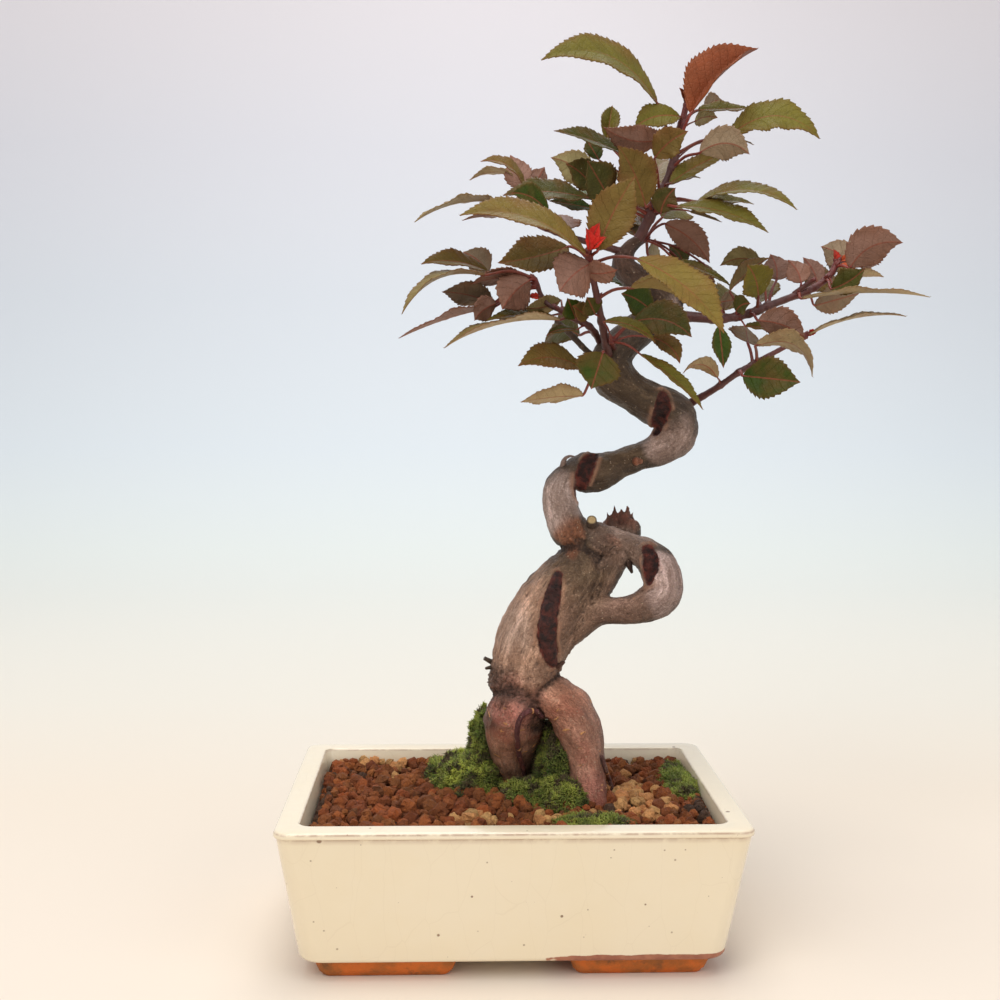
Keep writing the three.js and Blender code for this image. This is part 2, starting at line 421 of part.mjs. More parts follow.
// Leaf: [name, base, tip, width, rise, turn, fold, stalk start]. The rib bows up by rise between
// base and tip. At turn 0 the blade is level, at turn 90 its upper face looks at the front, and
// below 0 its underside does. Fold is the angle that lifts both halves off the rib's plane.
const LEAVES = {
  shoot_top: [
    ['t1', [50.5, 301, 0], [9, 316, -14], 19, 9, 44, 10, [56.5, 281.5, 4]],
    ['t2', [62.5, 297.5, -3], [86, 321, 4], 23, 2, 44, 50, [58, 279.5, 4]],
    ['t3', [59, 296.5, 1], [42.5, 292.5, -8], 11, 2, 62, 10, [59.5, 293.5, 3]],
    ['t4', [54, 289.5, -5], [31.5, 292.5, -18], 11, -3, -52, 10, [57, 281.5, 4]],
    ['t5', [50, 282, -12], [61.5, 291.5, -20], 11, 1, 78, 12, [51, 269.5, 4]],
    ['t6', [41, 282, -4], [14, 291, -14], 13, 1, 33, 15, [50.5, 269, 4]],
    ['t7', [32.5, 287.5, 12], [34.5, 300, 22], 9, 0, 88, 45, [48.5, 263, 6]],
    ['t8', [27, 272.5, 8], [13, 281.5, 14], 12, 2, -72, 10, [48.5, 263, 6]],
    ['t9', [28.5, 270.5, 0], [18.5, 279.5, -4], 13, 1, 66, 10, [49.5, 264, 5]],
    ['t10', [34, 267.5, -14], [26, 280.5, -28], 14, 0, 80, 10, [49.5, 264.5, 4]],
    ['t11', [47, 265, -8], [37, 286, -24], 16, 1, 80, 12, [49.5, 263, 4]],
    ['t14', [52.5, 262.5, -3], [57.5, 271.5, -5], 10, 1, 78, 10, [49.5, 262.5, 4]],
    ['r1', [67.5, 299.5, 13], [73.5, 302.5, 20], 7, 1, -55, 10, [60.5, 292.5, 4]],
    ['r2', [65, 299, 6], [84, 300, 12], 9, 0, 36, 15, [60, 294, 4]],
    ['r3', [76, 289.5, 0], [109.5, 290, -8], 16, 7.5, 52, 8, [58.5, 283, 4]],
    ['r4', [66, 284, -8], [84, 284, -18], 12, 3.5, -72, 12, [57.5, 278, 4]],
    ['r4b', [70.5, 288.5, 10], [85.5, 287.5, 18], 6, 1, 22, 10, [58, 280.5, 4]],
    ['r5', [64, 295, 8], [72, 296.5, 18], 7, 1, -50, 10, [59, 290, 4]],
    ['r7', [55.5, 273, -2], [76.5, 284.5, 6], 10, 1, 42, 12, [53.5, 271, 4]],
    ['r9', [65.5, 267, -4], [102, 265, -14], 15, 5, 26, 12, [51, 265, 5]],
    ['r10', [68.5, 266, 8], [86, 266.5, 16], 10, 1, 28, 15, [51, 264, 5]],
    ['r11', [58, 265, -8], [91.5, 256.5, -20], 15, 2.5, 34, 12, [49.5, 262.5, 5]],
    ['a5', [27, 267.5, -6], [-4, 268.5, -16], 15, 1.5, 38, 12, [49.5, 261.5, 5]],
    ['a11', [28, 264, 0], [12.5, 266.5, -4], 9, 0, 38, 10, [49, 260.5, 5]],
    ['k1', [45, 267, 10], [34.5, 277.5, 46], 15, 3, 60, 12, [50.5, 266, 5]],
    ['k2', [52, 272.5, 12], [56, 281.5, 50], 15, 3, 60, 12, [53, 270, 4]],
    ['k10', [35, 265.5, 16], [20.5, 269.5, 44], 14, 3, 55, 12, [49.5, 263, 5]],
  ],
  shoot_left_high: [
    ['a1', [3.5, 271, -4], [-12, 280, -8], 8.5, 3.5, 32, 15, [10, 257, 2]],
    ['a2', [3, 271, 4], [-16, 273.5, 12], 8.5, 4, -4, 12, [9.5, 257, 2]],
    ['a3', [3.5, 270.5, 0], [-1.5, 282, 6], 10, 0, -85, 8, [9.5, 257.5, 2]],
    ['a4', [5.5, 269, 5], [10.5, 278, 11], 10, 0, -85, 8, [10.5, 257, 2]],
    ['a6', [12, 262, -20], [-1, 269, -30], 10, 2, 62, 10, [15, 255.5, 2]],
    ['a7', [-6.5, 266, -8], [-35.5, 258.5, -20], 15, 2.5, 4, 12, [9, 257.5, 2]],
    ['a9', [9, 259.5, -6], [-18.5, 259.5, -18], 12, 1.5, -6, 12, [11, 256.5, 2]],
    ['k11', [17, 256, 6], [11, 262, 40], 14, 3, 60, 12, [17, 254.5, 2]],
  ],
  shoot_front: [
    ['a8', [26, 247.5, -36], [-19.5, 261.5, -48], 19, 5.5, 32, 14, [27, 247, -32]],
    ['t13', [30, 249.5, -36], [42.5, 275, -40], 20, 1, 82, 12, [27.5, 246.5, -32]],
    ['b11', [19.5, 250.5, -24], [-5.5, 244.5, -34], 16, -1, 58, 14, [27.5, 246, -31]],
    ['b13a', [27.5, 244.5, -34], [16.5, 234.5, -46], 16, 1, -80, 12, [27.5, 244.5, -31]],
    ['b13b', [25.5, 242, -32], [37, 242.5, -42], 9, -1, -50, 10, [28, 243.5, -31]],
    ['r16a', [44, 246.5, -36], [76.5, 220.5, -50], 18, 3, 50, 16, [28, 245, -31]],
    ['b15c', [29.5, 226.5, -22], [26.5, 232.5, -26], 8, 0, 80, 8, [31.5, 224, -17]],
    ['r16b', [42, 236, -30], [66.5, 228.5, -38], 17, 2.5, 22, 40, [30.5, 232.5, -23]],
  ],
  shoot_left_low: [
    ['b1', [-9, 241, -9], [-33, 244, -22], 11, 2, 36, 18, [7.5, 239, -12]],
    ['b2', [-10, 240, -21], [-40, 226, -28], 14, 5.5, 12, 16, [7.5, 239, -12]],
    ['b3', [-9, 241, -4], [-18, 248, 6], 10, 1, -75, 8, [7.5, 239, -12]],
    ['b4', [4, 239, -10], [-15.5, 237, -20], 9, 1, -35, 10, [7.5, 238.5, -12]],
    ['b5', [-7.5, 230, -10], [-25.5, 234, -20], 11, 1, -48, 8, [8, 238, -12]],
    ['b6', [6, 238.5, -14], [-4, 228, -24], 14, 1, -82, 15, [7.5, 238.5, -12]],
    ['b7', [-6, 230, -18], [-14, 224, -24], 9, 1, -60, 8, [8.5, 237, -12]],
    ['b8', [-6.5, 229, -14], [-41, 217.5, -30], 15, 1, -2, 12, [9, 236.5, -12]],
    ['b9', [17, 224.5, -16], [-25, 214.5, -34], 16, 3, 4, 16, [21, 225, -14]],
    ['b9b', [14, 226, -12], [-10, 224, -20], 9, 1, 26, 12, [20.5, 226, -14]],
    ['b10', [17, 231.5, -8], [4, 228.5, -16], 8, -1, -50, 10, [17.5, 227.5, -14]],
    ['k15', [24, 219, 0], [11, 216, 28], 13, 3, 60, 12, [29, 220, -6]],
    ['b15a', [22.5, 225, -17], [19.5, 232, -22], 8, 0, 80, 8, [23, 224, -14]],
  ],
  collar_left: [
    ['c1', [25.5, 206.5, -14], [2, 208, -28], 13, 3.5, 44, 12, [32, 209.5, -14]],
    ['c2', [32.5, 213, -28], [28.5, 200, -34], 15.5, 0, 88, 8, [32, 209.5, -14]],
    ['c4', [25.5, 197.5, -14], [3, 195, -26], 12, 0.5, -30, 12, [32, 209, -14]],
  ],
  collar_right: [
    ['r17', [50, 227.5, -9], [39, 234, -20], 12, 1, 80, 8, [35.5, 217, -14]],
    ['r18', [43.5, 224, -19], [64.5, 219, -28], 15, 3, 62, 12, [35.5, 217, -14]],
    ['r19', [49.5, 218.5, -16], [60.5, 209.5, -24], 8, 2, 62, 12, [35.5, 216.5, -14]],
    ['r20', [32.5, 224, -26], [51.5, 217, -32], 7, 2, 38, 15, [34.5, 217.5, -15]],
    ['r21', [46, 212.5, -22], [69.5, 193, -30], 9, 1, 34, 20, [35.5, 216, -14]],
  ],
  shoot_back: [
    ['r13', [54, 259, 6], [70.5, 245.5, 12], 11, 2, -62, 12, [48, 254.5, 14]],
    ['r14', [61, 245, 16], [55.5, 251.5, 20], 9, 1, 60, 10, [48, 254, 15]],
    ['r15', [58.5, 245.5, 10], [79, 237, 16], 10, 1, 28, 12, [48, 253, 15]],
    ['k3', [53, 261, 18], [63, 262, 52], 15, 3, 60, 12, [48, 254.5, 16]],
    ['k4', [43.5, 254.5, 20], [31.5, 259.5, 58], 15, 3, 60, 12, [47.5, 254, 16]],
    ['k5', [48, 248, 20], [52.5, 238.5, 58], 15, 3, -110, 12, [48, 253, 16]],
    ['k9', [46.5, 258, 22], [45, 269, 60], 14, 3, 60, 12, [48, 254.5, 16]],
  ],
  shoot_knob: [
    ['k6', [45.5, 235.5, 20], [28, 241, 50], 15, 3, 55, 12, [51, 232, 18]],
    ['k7', [55.5, 234, 22], [66.5, 237.5, 54], 15, 3, 55, 12, [51.5, 232, 19]],
    ['k8', [50, 226, 20], [56, 217, 54], 14, 3, -110, 12, [51, 231, 18]],
  ],
  branch_right: [
    ['d1', [89.5, 245, 14], [74.5, 244.5, 22], 9, 2.5, -52, 10, [91.5, 230, -2]],
    ['d2', [95, 239.5, 10], [92.5, 248.5, 16], 12, 1, -85, 8, [92, 230.5, -2]],
    ['d3', [78, 235.5, 4], [92, 247.5, 10], 8, 1, -45, 30, [81.5, 227, -2]],
    ['d4', [88.5, 233.5, -8], [84.5, 244.5, -18], 13, 1, 85, 8, [88, 228.5, -2]],
    ['d5a', [104, 238.5, -2], [99, 246.5, 4], 9, 1, -80, 15, [103.5, 235, -1]],
    ['d5b', [110, 238, 4], [104.5, 247.5, 10], 8, 1, -80, 10, [109, 237, 0]],
    ['d6', [121, 246, 6], [111, 251.5, 12], 11, 1, -85, 8, [117, 245, 2]],
    ['d7', [121.5, 244, -4], [140.5, 253.5, -12], 15, 3.5, -76, 12, [116.5, 244.5, 2]],
    ['d9', [115, 236.5, -10], [127, 244, -18], 10, -1, 62, 20, [113, 240, 1]],
    ['d10', [116, 237, -4], [134, 241.5, 4], 8, 2, -18, 10, [113.5, 240.5, 1]],
    ['d11', [104, 233, -10], [151.5, 234.5, -24], 18, 1.5, 2, 10, [103, 234, -1]],
    ['d13', [109, 230.5, 4], [125, 235, 10], 10, 0, -75, 8, [106, 235.5, 0]],
    ['d14', [88.5, 225, -12], [106, 219, -20], 12, 1.5, -62, 12, [85.5, 227.5, -2]],
    ['d18', [74.5, 223, -14], [76.5, 208, -18], 7, 0, 80, 8, [72, 225.5, 0]],
    ['d21a', [74.5, 231.5, 2], [80.5, 232.5, 8], 7, 0, -60, 8, [75.5, 226, -1]],
    ['k12', [75.5, 228.5, 8], [82, 233, 40], 13, 3, 60, 12, [76.5, 226, -1]],
    ['k13', [106, 236, 8], [119, 238.5, 44], 14, 3, 60, 12, [105, 235.5, -1]],
    ['k14', [89, 231.5, 8], [93.5, 239.5, 44], 14, 3, 60, 12, [89, 229, -2]],
    ['k16', [115, 242.5, 10], [122.5, 246.5, 44], 13, 3, 60, 12, [115, 242, 2]],
  ],
  branch_right_low: [
    ['d12', [107, 220, -6], [143, 227.5, -18], 15, 2.5, 2, 10, [105.5, 219, -6]],
    ['d15', [88, 216, -16], [109.5, 205, -26], 13, 6.5, -16, 12, [88.5, 210, -9]],
    ['d17', [85, 217, -2], [84, 223, 14], 13, 0, -88, 8, [87, 209, -9]],
    ['d19', [74.5, 204, -12], [61.5, 206, -18], 7, 4, -38, 10, [75.5, 201.5, -6]],
    ['e1', [83.5, 205, -20], [104.5, 203, -32], 15, 0, 78, 10, [82, 206, -10]],
  ],
};

function leafFrame(base, tip, rise, turn) {
  const chord = tip.clone().sub(base);
  const along = chord.clone().normalize();
  const front = new THREE.Vector3(0, -1, 0).addScaledVector(along, along.y).normalize();
  const level = front.clone().cross(along);
  if (level.z < 0) level.negate();
  const hand = along.clone().cross(level).y <= 0 ? 1 : -1;
  const angle = degToRad(turn);
  return (t) => {
    const place = base.clone().addScaledVector(chord, t)
      .addScaledVector(level, rise * 4 * t * (1 - t));
    const ahead = chord.clone().addScaledVector(level, rise * 4 * (1 - 2 * t)).normalize();
    const flat = level.clone().addScaledVector(ahead, -level.dot(ahead)).normalize();
    const facing = ahead.clone().cross(flat).multiplyScalar(hand);
    const normal = flat.multiplyScalar(Math.cos(angle)).addScaledVector(facing, Math.sin(angle));
    return { place, normal, side: ahead.clone().cross(normal) };
  };
}

const leafWidth = (t) => Math.sin(Math.PI * t ** 0.9) ** (0.85 + 0.35 * t);

// Leaf with its stalk, as one closed body. Both faces of the blade share one triangle pattern,
// with toothed edges on either side of the rib, and the stalk is a square tube that meets the
// narrow start of the blade. Points come in pairs, upper face then lower face.
function makeLeaf(root, base, tip, width, rise, turn, fold) {
  const teeth = base.distanceTo(tip) < TEETH.longFrom ? TEETH.short : TEETH.long;
  const frameAt = leafFrame(base, tip, rise, turn);
  const foldAngle = degToRad(fold);
  const points = [];
  const faces = [];
  const addPair = (place, normal, thick = BLADE_THICK) => {
    points.push(place.clone().addScaledVector(normal, thick / 2));
    points.push(place.clone().addScaledVector(normal, -thick / 2));
    return points.length - 2;
  };
  const edgePair = (hand, t, share) => {
    const { place, normal, side } = frameAt(t);
    const out = side.clone().multiplyScalar(hand * Math.cos(foldAngle))
      .addScaledVector(normal, Math.sin(foldAngle));
    const lean = normal.clone().multiplyScalar(Math.cos(foldAngle))
      .addScaledVector(side, -hand * Math.sin(foldAngle));
    return addPair(place.addScaledVector(out, share * width / 2 * leafWidth(t)), lean);
  };
  const both = (a, b, c) => faces.push(a, b, c, a + 1, c + 1, b + 1);
  const rim = (a, b) => faces.push(b, a, a + 1, b, a + 1, b + 1);

  // Stalk: pairs on its right and left at the stem, at its bowed middle and at the blade, each
  // with the blade's first frame turned to the stalk's own direction.
  const { normal: startNormal, side: startSide } = frameAt(0);
  const ahead = startNormal.clone().cross(startSide);
  const bow = new THREE.Vector3(0, 0, STALK.bow * root.distanceTo(base));
  const bend = root.clone().lerp(base, 0.5).add(bow);
  const toBend = bend.clone().sub(root).normalize();
  const toBase = base.clone().sub(root).normalize();
  const stops = [[root, toBend], [bend, toBase], [base, ahead.clone().add(toBase).normalize()]];
  const stalk = stops.map(([stop, way]) => {
    const turned = new THREE.Quaternion().setFromUnitVectors(ahead, way);
    const normal = startNormal.clone().applyQuaternion(turned);
    const side = startSide.clone().applyQuaternion(turned);
    return [STALK.width / 2, -STALK.width / 2].map((reach) =>
      addPair(stop.clone().addScaledVector(side, reach), normal, STALK.thick));
  });
  for (let i = 0; i < 2; i += 1) {
    const [right, left] = stalk[i];
    const [nextRight, nextLeft] = stalk[i + 1];
    both(right, nextRight, nextLeft);
    both(right, nextLeft, left);
    rim(right, nextRight);
    rim(nextLeft, left);
  }
  rim(stalk[0][1], stalk[0][0]);

  const rib = Array.from({ length: teeth }, (_, i) => {
    const { place, normal } = frameAt((i + 1) / teeth);
    return addPair(place, normal);
  });
  both(stalk[2][0], rib[0], stalk[2][1]);
  for (const hand of [1, -1]) {
    const face = (a, b, c) => (hand > 0 ? both(a, b, c) : both(a, c, b));
    const border = (a, b) => (hand > 0 ? rim(a, b) : rim(b, a));
    let notch = stalk[2][hand > 0 ? 0 : 1];
    for (let i = 0; i < teeth; i += 1) {
      const isLast = i + 1 === teeth;
      const peak = edgePair(hand, (i + TEETH.lean) / teeth, TEETH.peak);
      const next = isLast ? rib[i] : edgePair(hand, (i + 1) / teeth, TEETH.notch);
      if (i > 0) face(rib[i - 1], notch, peak);
      face(i > 0 ? rib[i - 1] : notch, peak, rib[i]);
      if (!isLast) face(rib[i], peak, next);
      border(notch, peak);
      border(peak, next);
      notch = next;
    }
  }
  return solidOf(geometryOf(points.flatMap((p) => [p.x, p.y, p.z]), faces));
}

function makeShoot(name) {
  const stems = STEMS[name];
  const places = stems.flatMap((stations) => pathOf(stations).getPoints(60).slice(4));
  const leaves = LEAVES[name].map(([, base, tip, width, rise, turn, fold, start]) => {
    const wanted = seen(...start);
    const root = places.reduce((a, b) =>
      (a.distanceTo(wanted) < b.distanceTo(wanted) ? a : b));
    return makeLeaf(root, seen(...base), seen(...tip), width, rise, turn, fold);
  });
  return joined([...stems.map((stations) => limb(stations, 5)), ...leaves])
    .subtract(aroundTrunk);
}

addMesh('pot', makePot(), GLAZE, 0.3);
addMesh('drain_screen_left', makeScreen(-POT.holeX), PLASTIC, 0.6);
addMesh('drain_screen_right', makeScreen(POT.holeX), PLASTIC, 0.6);
addMesh('soil', makeSoil(), AKADAMA, 0.95);
for (const name of Object.keys(MOSS)) addMesh(name, makeMoss(MOSS[name]), MOSS_GREEN, 0.95);
addMesh('trunk', makeTrunk(), BARK, 0.8);
for (const name of Object.keys(STEMS)) addMesh(name, makeShoot(name), FOLIAGE, 0.6);

const middle = new THREE.Box3().setFromObject(group).getCenter(new THREE.Vector3());
for (const part of group.children) part.geometry.translate(-middle.x, -middle.y, 0);

export default group;
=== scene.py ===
"""Apple bonsai in a glazed pot: fine bark, leaves, moss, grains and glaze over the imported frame.

All lengths in the tables are millimetres in the pot's own frame: x along the pot, y away from
the viewer, z up from the underside of its feet.
"""

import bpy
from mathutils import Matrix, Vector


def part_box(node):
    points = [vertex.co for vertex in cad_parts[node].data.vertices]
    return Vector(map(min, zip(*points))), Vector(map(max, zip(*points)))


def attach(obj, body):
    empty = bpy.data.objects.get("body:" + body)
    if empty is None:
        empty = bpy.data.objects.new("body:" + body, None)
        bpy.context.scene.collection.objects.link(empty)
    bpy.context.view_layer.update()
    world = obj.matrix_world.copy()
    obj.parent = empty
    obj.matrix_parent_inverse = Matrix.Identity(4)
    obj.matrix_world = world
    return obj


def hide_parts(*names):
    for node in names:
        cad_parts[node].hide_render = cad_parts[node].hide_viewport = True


bl_info = {
    "name": "Apple Bonsai",
    "version": (1, 0, 0),
    "blender": (4, 5, 0),
    "location": "View3D > Sidebar > Bonsai",
    "description": "Looped apple bonsai with toothed leaves, akadama soil and moss in a pot",
    "category": "Object",
}

import bpy
import numpy as np
from bpy.props import FloatProperty, FloatVectorProperty, IntProperty, PointerProperty
from mathutils import Matrix

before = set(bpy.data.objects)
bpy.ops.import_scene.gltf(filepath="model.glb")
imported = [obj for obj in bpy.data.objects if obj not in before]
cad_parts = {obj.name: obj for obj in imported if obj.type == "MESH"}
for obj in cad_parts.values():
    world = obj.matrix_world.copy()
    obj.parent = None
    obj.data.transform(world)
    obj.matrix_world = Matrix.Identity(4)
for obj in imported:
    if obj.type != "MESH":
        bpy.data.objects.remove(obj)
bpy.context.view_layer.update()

MM = 0.001
TAU = 2 * np.pi
POT_LOW, POT_HIGH = (np.array(corner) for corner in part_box("pot"))
POT_CENTRE = np.array([(POT_LOW[0] + POT_HIGH[0]) / 2, (POT_LOW[1] + POT_HIGH[1]) / 2, 0])

# Eye that the tree's tables are drawn from. A table place is (across, up, back): across and up
# are read on the upright plane through the pot's middle, back is the depth behind that plane.
EYE = np.array([-21.5, -441, 196.3])

# Pot, as in the frame.
POT_LENGTH, POT_DEPTH, POT_HEIGHT = 160, 105, 54.2
FLOOR_TOP, BODY_BOTTOM = 12.4, 6.8
WALL, INNER_TAPER, OUTER_TAPER = 8.1, 5, 6.9
LIP_HEIGHT, BASE_ROUND, INNER_ROUND = 2.6, 1.6, 1.0
CORNER_LOW, CORNER_HIGH, CORNER_INSIDE = 8.0, 5.0, 3.6
DRAIN_X, DRAIN_RADIUS = 38, 6
FOOT_LONG, FOOT_WIDE, FOOT_ARM, FOOT_SLOPE = 49.5, 30, 15, 2.6
FOOT_FAR = (POT_LENGTH / 2 - OUTER_TAPER - 5, POT_DEPTH / 2 - OUTER_TAPER - 2.5)
SOIL_LEVEL, MOUND_HEIGHT, MOUND_X, MOUND_RADIUS = 49.2, 2.4, 16, 34
BED_LOW, BED_DROP, BED_GAP = 14.4, 1.7, 0.5

# Turn of the trunk's flutes about its axis, radians for each millimetre of length.
FLUTE_WIND = 0.071

# Wood: stations (across, up, back, radius) of each root and trunk part.
WOOD = {
    "left_root": [
        (5, 24.5, 24, 5.6), (3, 47.5, 20, 7.2), (2, 57, 16, 7.9), (1.5, 68.5, 9, 10),
        (1.3, 78, 2, 11.3), (3.2, 85, -2.5, 9.8), (5, 91, -3, 7.2),
    ],
    "right_root": [
        (35.5, 28.5, -14, 4.4), (33, 41.5, -12, 5.3), (30.5, 49.5, -11, 6), (28.5, 63.5, -8, 7.1),
        (26, 73, -6, 8.2), (22.3, 81, -5, 8.5), (15.5, 86.5, -4, 7.8), (8.5, 92.5, -2, 8),
    ],
    "torso": [
        (6, 84, 1, 10.8), (5, 92, 0, 11.9), (6, 98, 0, 12.5), (8.5, 106, 0, 13.6),
        (13, 115, 0, 13.9), (18.5, 124, 0, 13.4), (24.2, 133, 0, 11.2), (27, 141, 0, 8),
    ],
    "loop": [
        (12, 103.5, -1, 6.2), (17.5, 109, -2, 6.2), (23, 112.5, -4, 6.2), (28.3, 116, -5, 5.4),
        (32.5, 118.3, -7, 4.9), (38.1, 118.6, -8, 4.7), (43.5, 118.8, -9, 5.2),
        (50, 121, -11, 6.1), (55.3, 124.8, -11, 6.9), (56, 129, -10, 7), (54.4, 134, -8, 7),
        (50, 139.1, -4, 6.2), (45, 141.4, -1, 5), (39.9, 142.7, 0, 5.6), (34, 143.6, 1, 6.6),
        (29.5, 144.5, 0, 7), (25, 142, 0, 6.5),
    ],
    "web": [(28, 124, -1, 6.5), (31, 128, -1, 6.2), (35, 134, -1, 6), (38.5, 139.5, -1, 5.5)],
    "upper": [
        (28, 139.5, 0, 7), (23.5, 145.5, 0, 6.9), (20.3, 150, 0.5, 6.7), (18.6, 155, 1, 6.4),
        (17.3, 160, 2, 5.9), (17.8, 165, 3, 5.5), (21, 168.4, 4, 4.7), (26.4, 169.5, 5, 7.6),
        (32, 170, 5, 7.1), (39.5, 173, 5, 5.3), (46.5, 175.5, 5, 4.9), (53, 178, 5, 6.2),
        (59, 183, 4, 8), (60, 188.5, 3, 8), (56.5, 192.5, 1, 7.6), (50, 195, -1, 7.2),
        (42.5, 199, -2, 6.8), (36.5, 204, -2, 7.9), (34.5, 209.5, -1, 7.2), (39.5, 216, 2, 6.5),
        (47, 222, 5, 6.2), (53.5, 226, 8, 6.6), (55, 231, 9, 6.6), (50.5, 235.5, 8, 5.9),
        (44, 239.5, 7, 5.1), (39.5, 244.5, 6, 4.4), (41, 249.5, 6, 2.9), (44.5, 253, 6, 2.2),
    ],
    "crotch": [(12.5, 87, -3, 4.5), (13.6, 82, -3, 4), (13.9, 78.6, -3, 2.6)],
    "stump": [(37.5, 141, 8, 6.5), (40, 146, 11, 7.4), (40.6, 150, 13, 7)],
}
# Thin roots, stubs, splinters and flakes. The two thin roots lie on the wood behind them.
THIN_WOOD = {
    "curl_root": [
        (12, 79, 0, 0.9), (9.9, 81, 0, 1), (6.6, 80.9, 0, 1), (3.9, 78.4, 0, 1),
        (2.8, 73.6, 0, 1), (3.1, 68.2, 0, 1), (3.9, 63.8, 0, 0.95), (5.3, 59.5, 0, 0.9),
        (6.5, 52, 8, 0.8), (7.5, 46, 10, 0.7),
    ],
    "side_root": [
        (34.3, 64, 0, 0.8), (36.3, 58, 0, 0.8), (38.3, 52, 0, 0.8), (39.5, 47, 0, 0.7),
        (41, 40, 0, 0.7),
    ],
    "bare_twig": [
        (31.5, 209.5, -4, 1.4), (26, 214, -7, 1.1), (21, 219, -8, 1.1), (15.5, 224, -8, 1),
    ],
    "left_stub": [(-2, 98, 0, 1.2), (-6.5, 99.5, 0, 1), (-9.5, 101, -1, 0.8)],
    "left_splinter": [(-3, 97, -2, 1), (-6.8, 97.6, -3, 0.8), (-9, 97.2, -4, 0.5)],
    "spike": [
        (18.4, 170, 4, 1.5), (18.6, 172.6, 3, 1.1), (19.4, 174.6, 2, 0.7), (20.9, 175.4, 2, 0.5),
        (22.4, 175.4, 2, 0.25),
    ],
    "flake": [(43, 138.5, -3, 1.2), (43.4, 135.5, -5, 1.3), (44.4, 132.8, -5, 0.5)],
    "wound_flake": [(14.5, 99.5, -9, 1.5), (17.4, 98.3, -10, 1.2), (20, 99.6, -10, 0.5)],
    "cut_stub": [(29.6, 148.5, 0, 2.2), (29.3, 151, -5, 2), (29.3, 152.2, -7.2, 1.8)],
    "arm_stub": [(45, 173.6, 2, 1.8), (45.6, 173.8, -1, 1.3), (47.2, 173.6, -2.4, 0.8)],
}
THIN_TONES = {
    "arm_stub": (0.33, 0.12, 0.06), "spike": (0.40, 0.28, 0.24), "flake": (0.06, 0.03, 0.02),
    "wound_flake": (0.10, 0.035, 0.02), "side_root": (0.17, 0.07, 0.055),
}
STUMP_TOP = (40.5, 152, 12)
# Splinters of the torn stump: (across, up, back) of the middle of each.
SPLINTERS = [
    (35, 151.5, 9), (37.5, 153, 8), (40, 152.8, 8), (42.3, 153.6, 9), (44.3, 152, 10),
    (38, 152.5, 18), (43, 152.5, 18),
]

# Old wounds, troughs with a thin callus rim: the share of its radius that a wound's path may lie
# off the wood, and the path's stations (across, up, radius).
WOUNDS = [
    (0.0, [(17.1, 131.5, 1.8), (14.8, 121, 3.1), (13.7, 113.8, 3.2), (13.3, 109, 3.1),
           (14.4, 102.9, 3.0), (15.5, 99.6, 1.8)]),
    (0.45, [(50, 142.5, 2.2), (50.8, 136.5, 3.6), (49.6, 130.5, 2.6)]),
    (0.35, [(29.8, 176.5, 1.8), (27, 172.4, 3.3), (25.6, 166.5, 3.3), (24.5, 161, 1.9)]),
    (0.35, [(55, 198.5, 1.8), (54.7, 193.3, 3.1), (53.3, 188, 2.7), (52, 184.5, 1.6)]),
]
# Bark tones: (across, up, back, radius, colour) of each patch over the base tone.
BARK_TONES = [
    (9, 108, -10, 20, (0.72, 0.43, 0.29)), (25, 128, -8, 11, (0.25, 0.155, 0.085)),
    (24, 114, -10, 7, (0.24, 0.14, 0.085)), (1, 112, -8, 8, (0.62, 0.46, 0.37)),
    (2, 83, -8, 9, (0.98, 0.39, 0.30)), (2, 70, -2, 9, (0.98, 0.47, 0.30)),
    (2, 58, 6, 12, (0.66, 0.34, 0.20)), (19, 85, -10, 9, (0.66, 0.28, 0.17)),
    (26, 68, -12, 13, (0.66, 0.315, 0.21)), (32, 48, -16, 9, (0.62, 0.24, 0.17)),
    (38, 118, -12, 11, (0.38, 0.22, 0.155)), (58, 127, -14, 9, (0.78, 0.56, 0.50)),
    (40, 143, -4, 9, (0.36, 0.235, 0.175)), (16.5, 158, -3, 9, (0.62, 0.46, 0.40)),
    (36, 172, 0, 10, (0.14, 0.085, 0.042)), (58, 181, -3, 9, (0.56, 0.40, 0.34)),
    (44, 198, -6, 13, (0.125, 0.078, 0.038)), (60, 228.5, 0, 5, (0.42, 0.30, 0.26)),
    (45, 243, 5, 11, (0.12, 0.052, 0.032)), (-5, 91, -4, 8, (0.10, 0.05, 0.034)),
    (-3, 92, -8, 6, (0.13, 0.062, 0.04)), (22, 147, -8, 5, (0.42, 0.16, 0.075)),
    (36, 139, -8, 6, (0.22, 0.11, 0.065)), (37.5, 143, -5, 3, (0.40, 0.15, 0.08)),
    (48, 240, 5, 9, (0.10, 0.06, 0.035)), (40, 153, 11, 7, (0.24, 0.10, 0.06)),
]
# Flaky crust: (across, up, back, radius) of each place.
CRUSTS = [(-4, 91, -6, 10), (21.5, 147, -7, 5), (37, 142, -5, 4), (31, 140, -5, 4)]

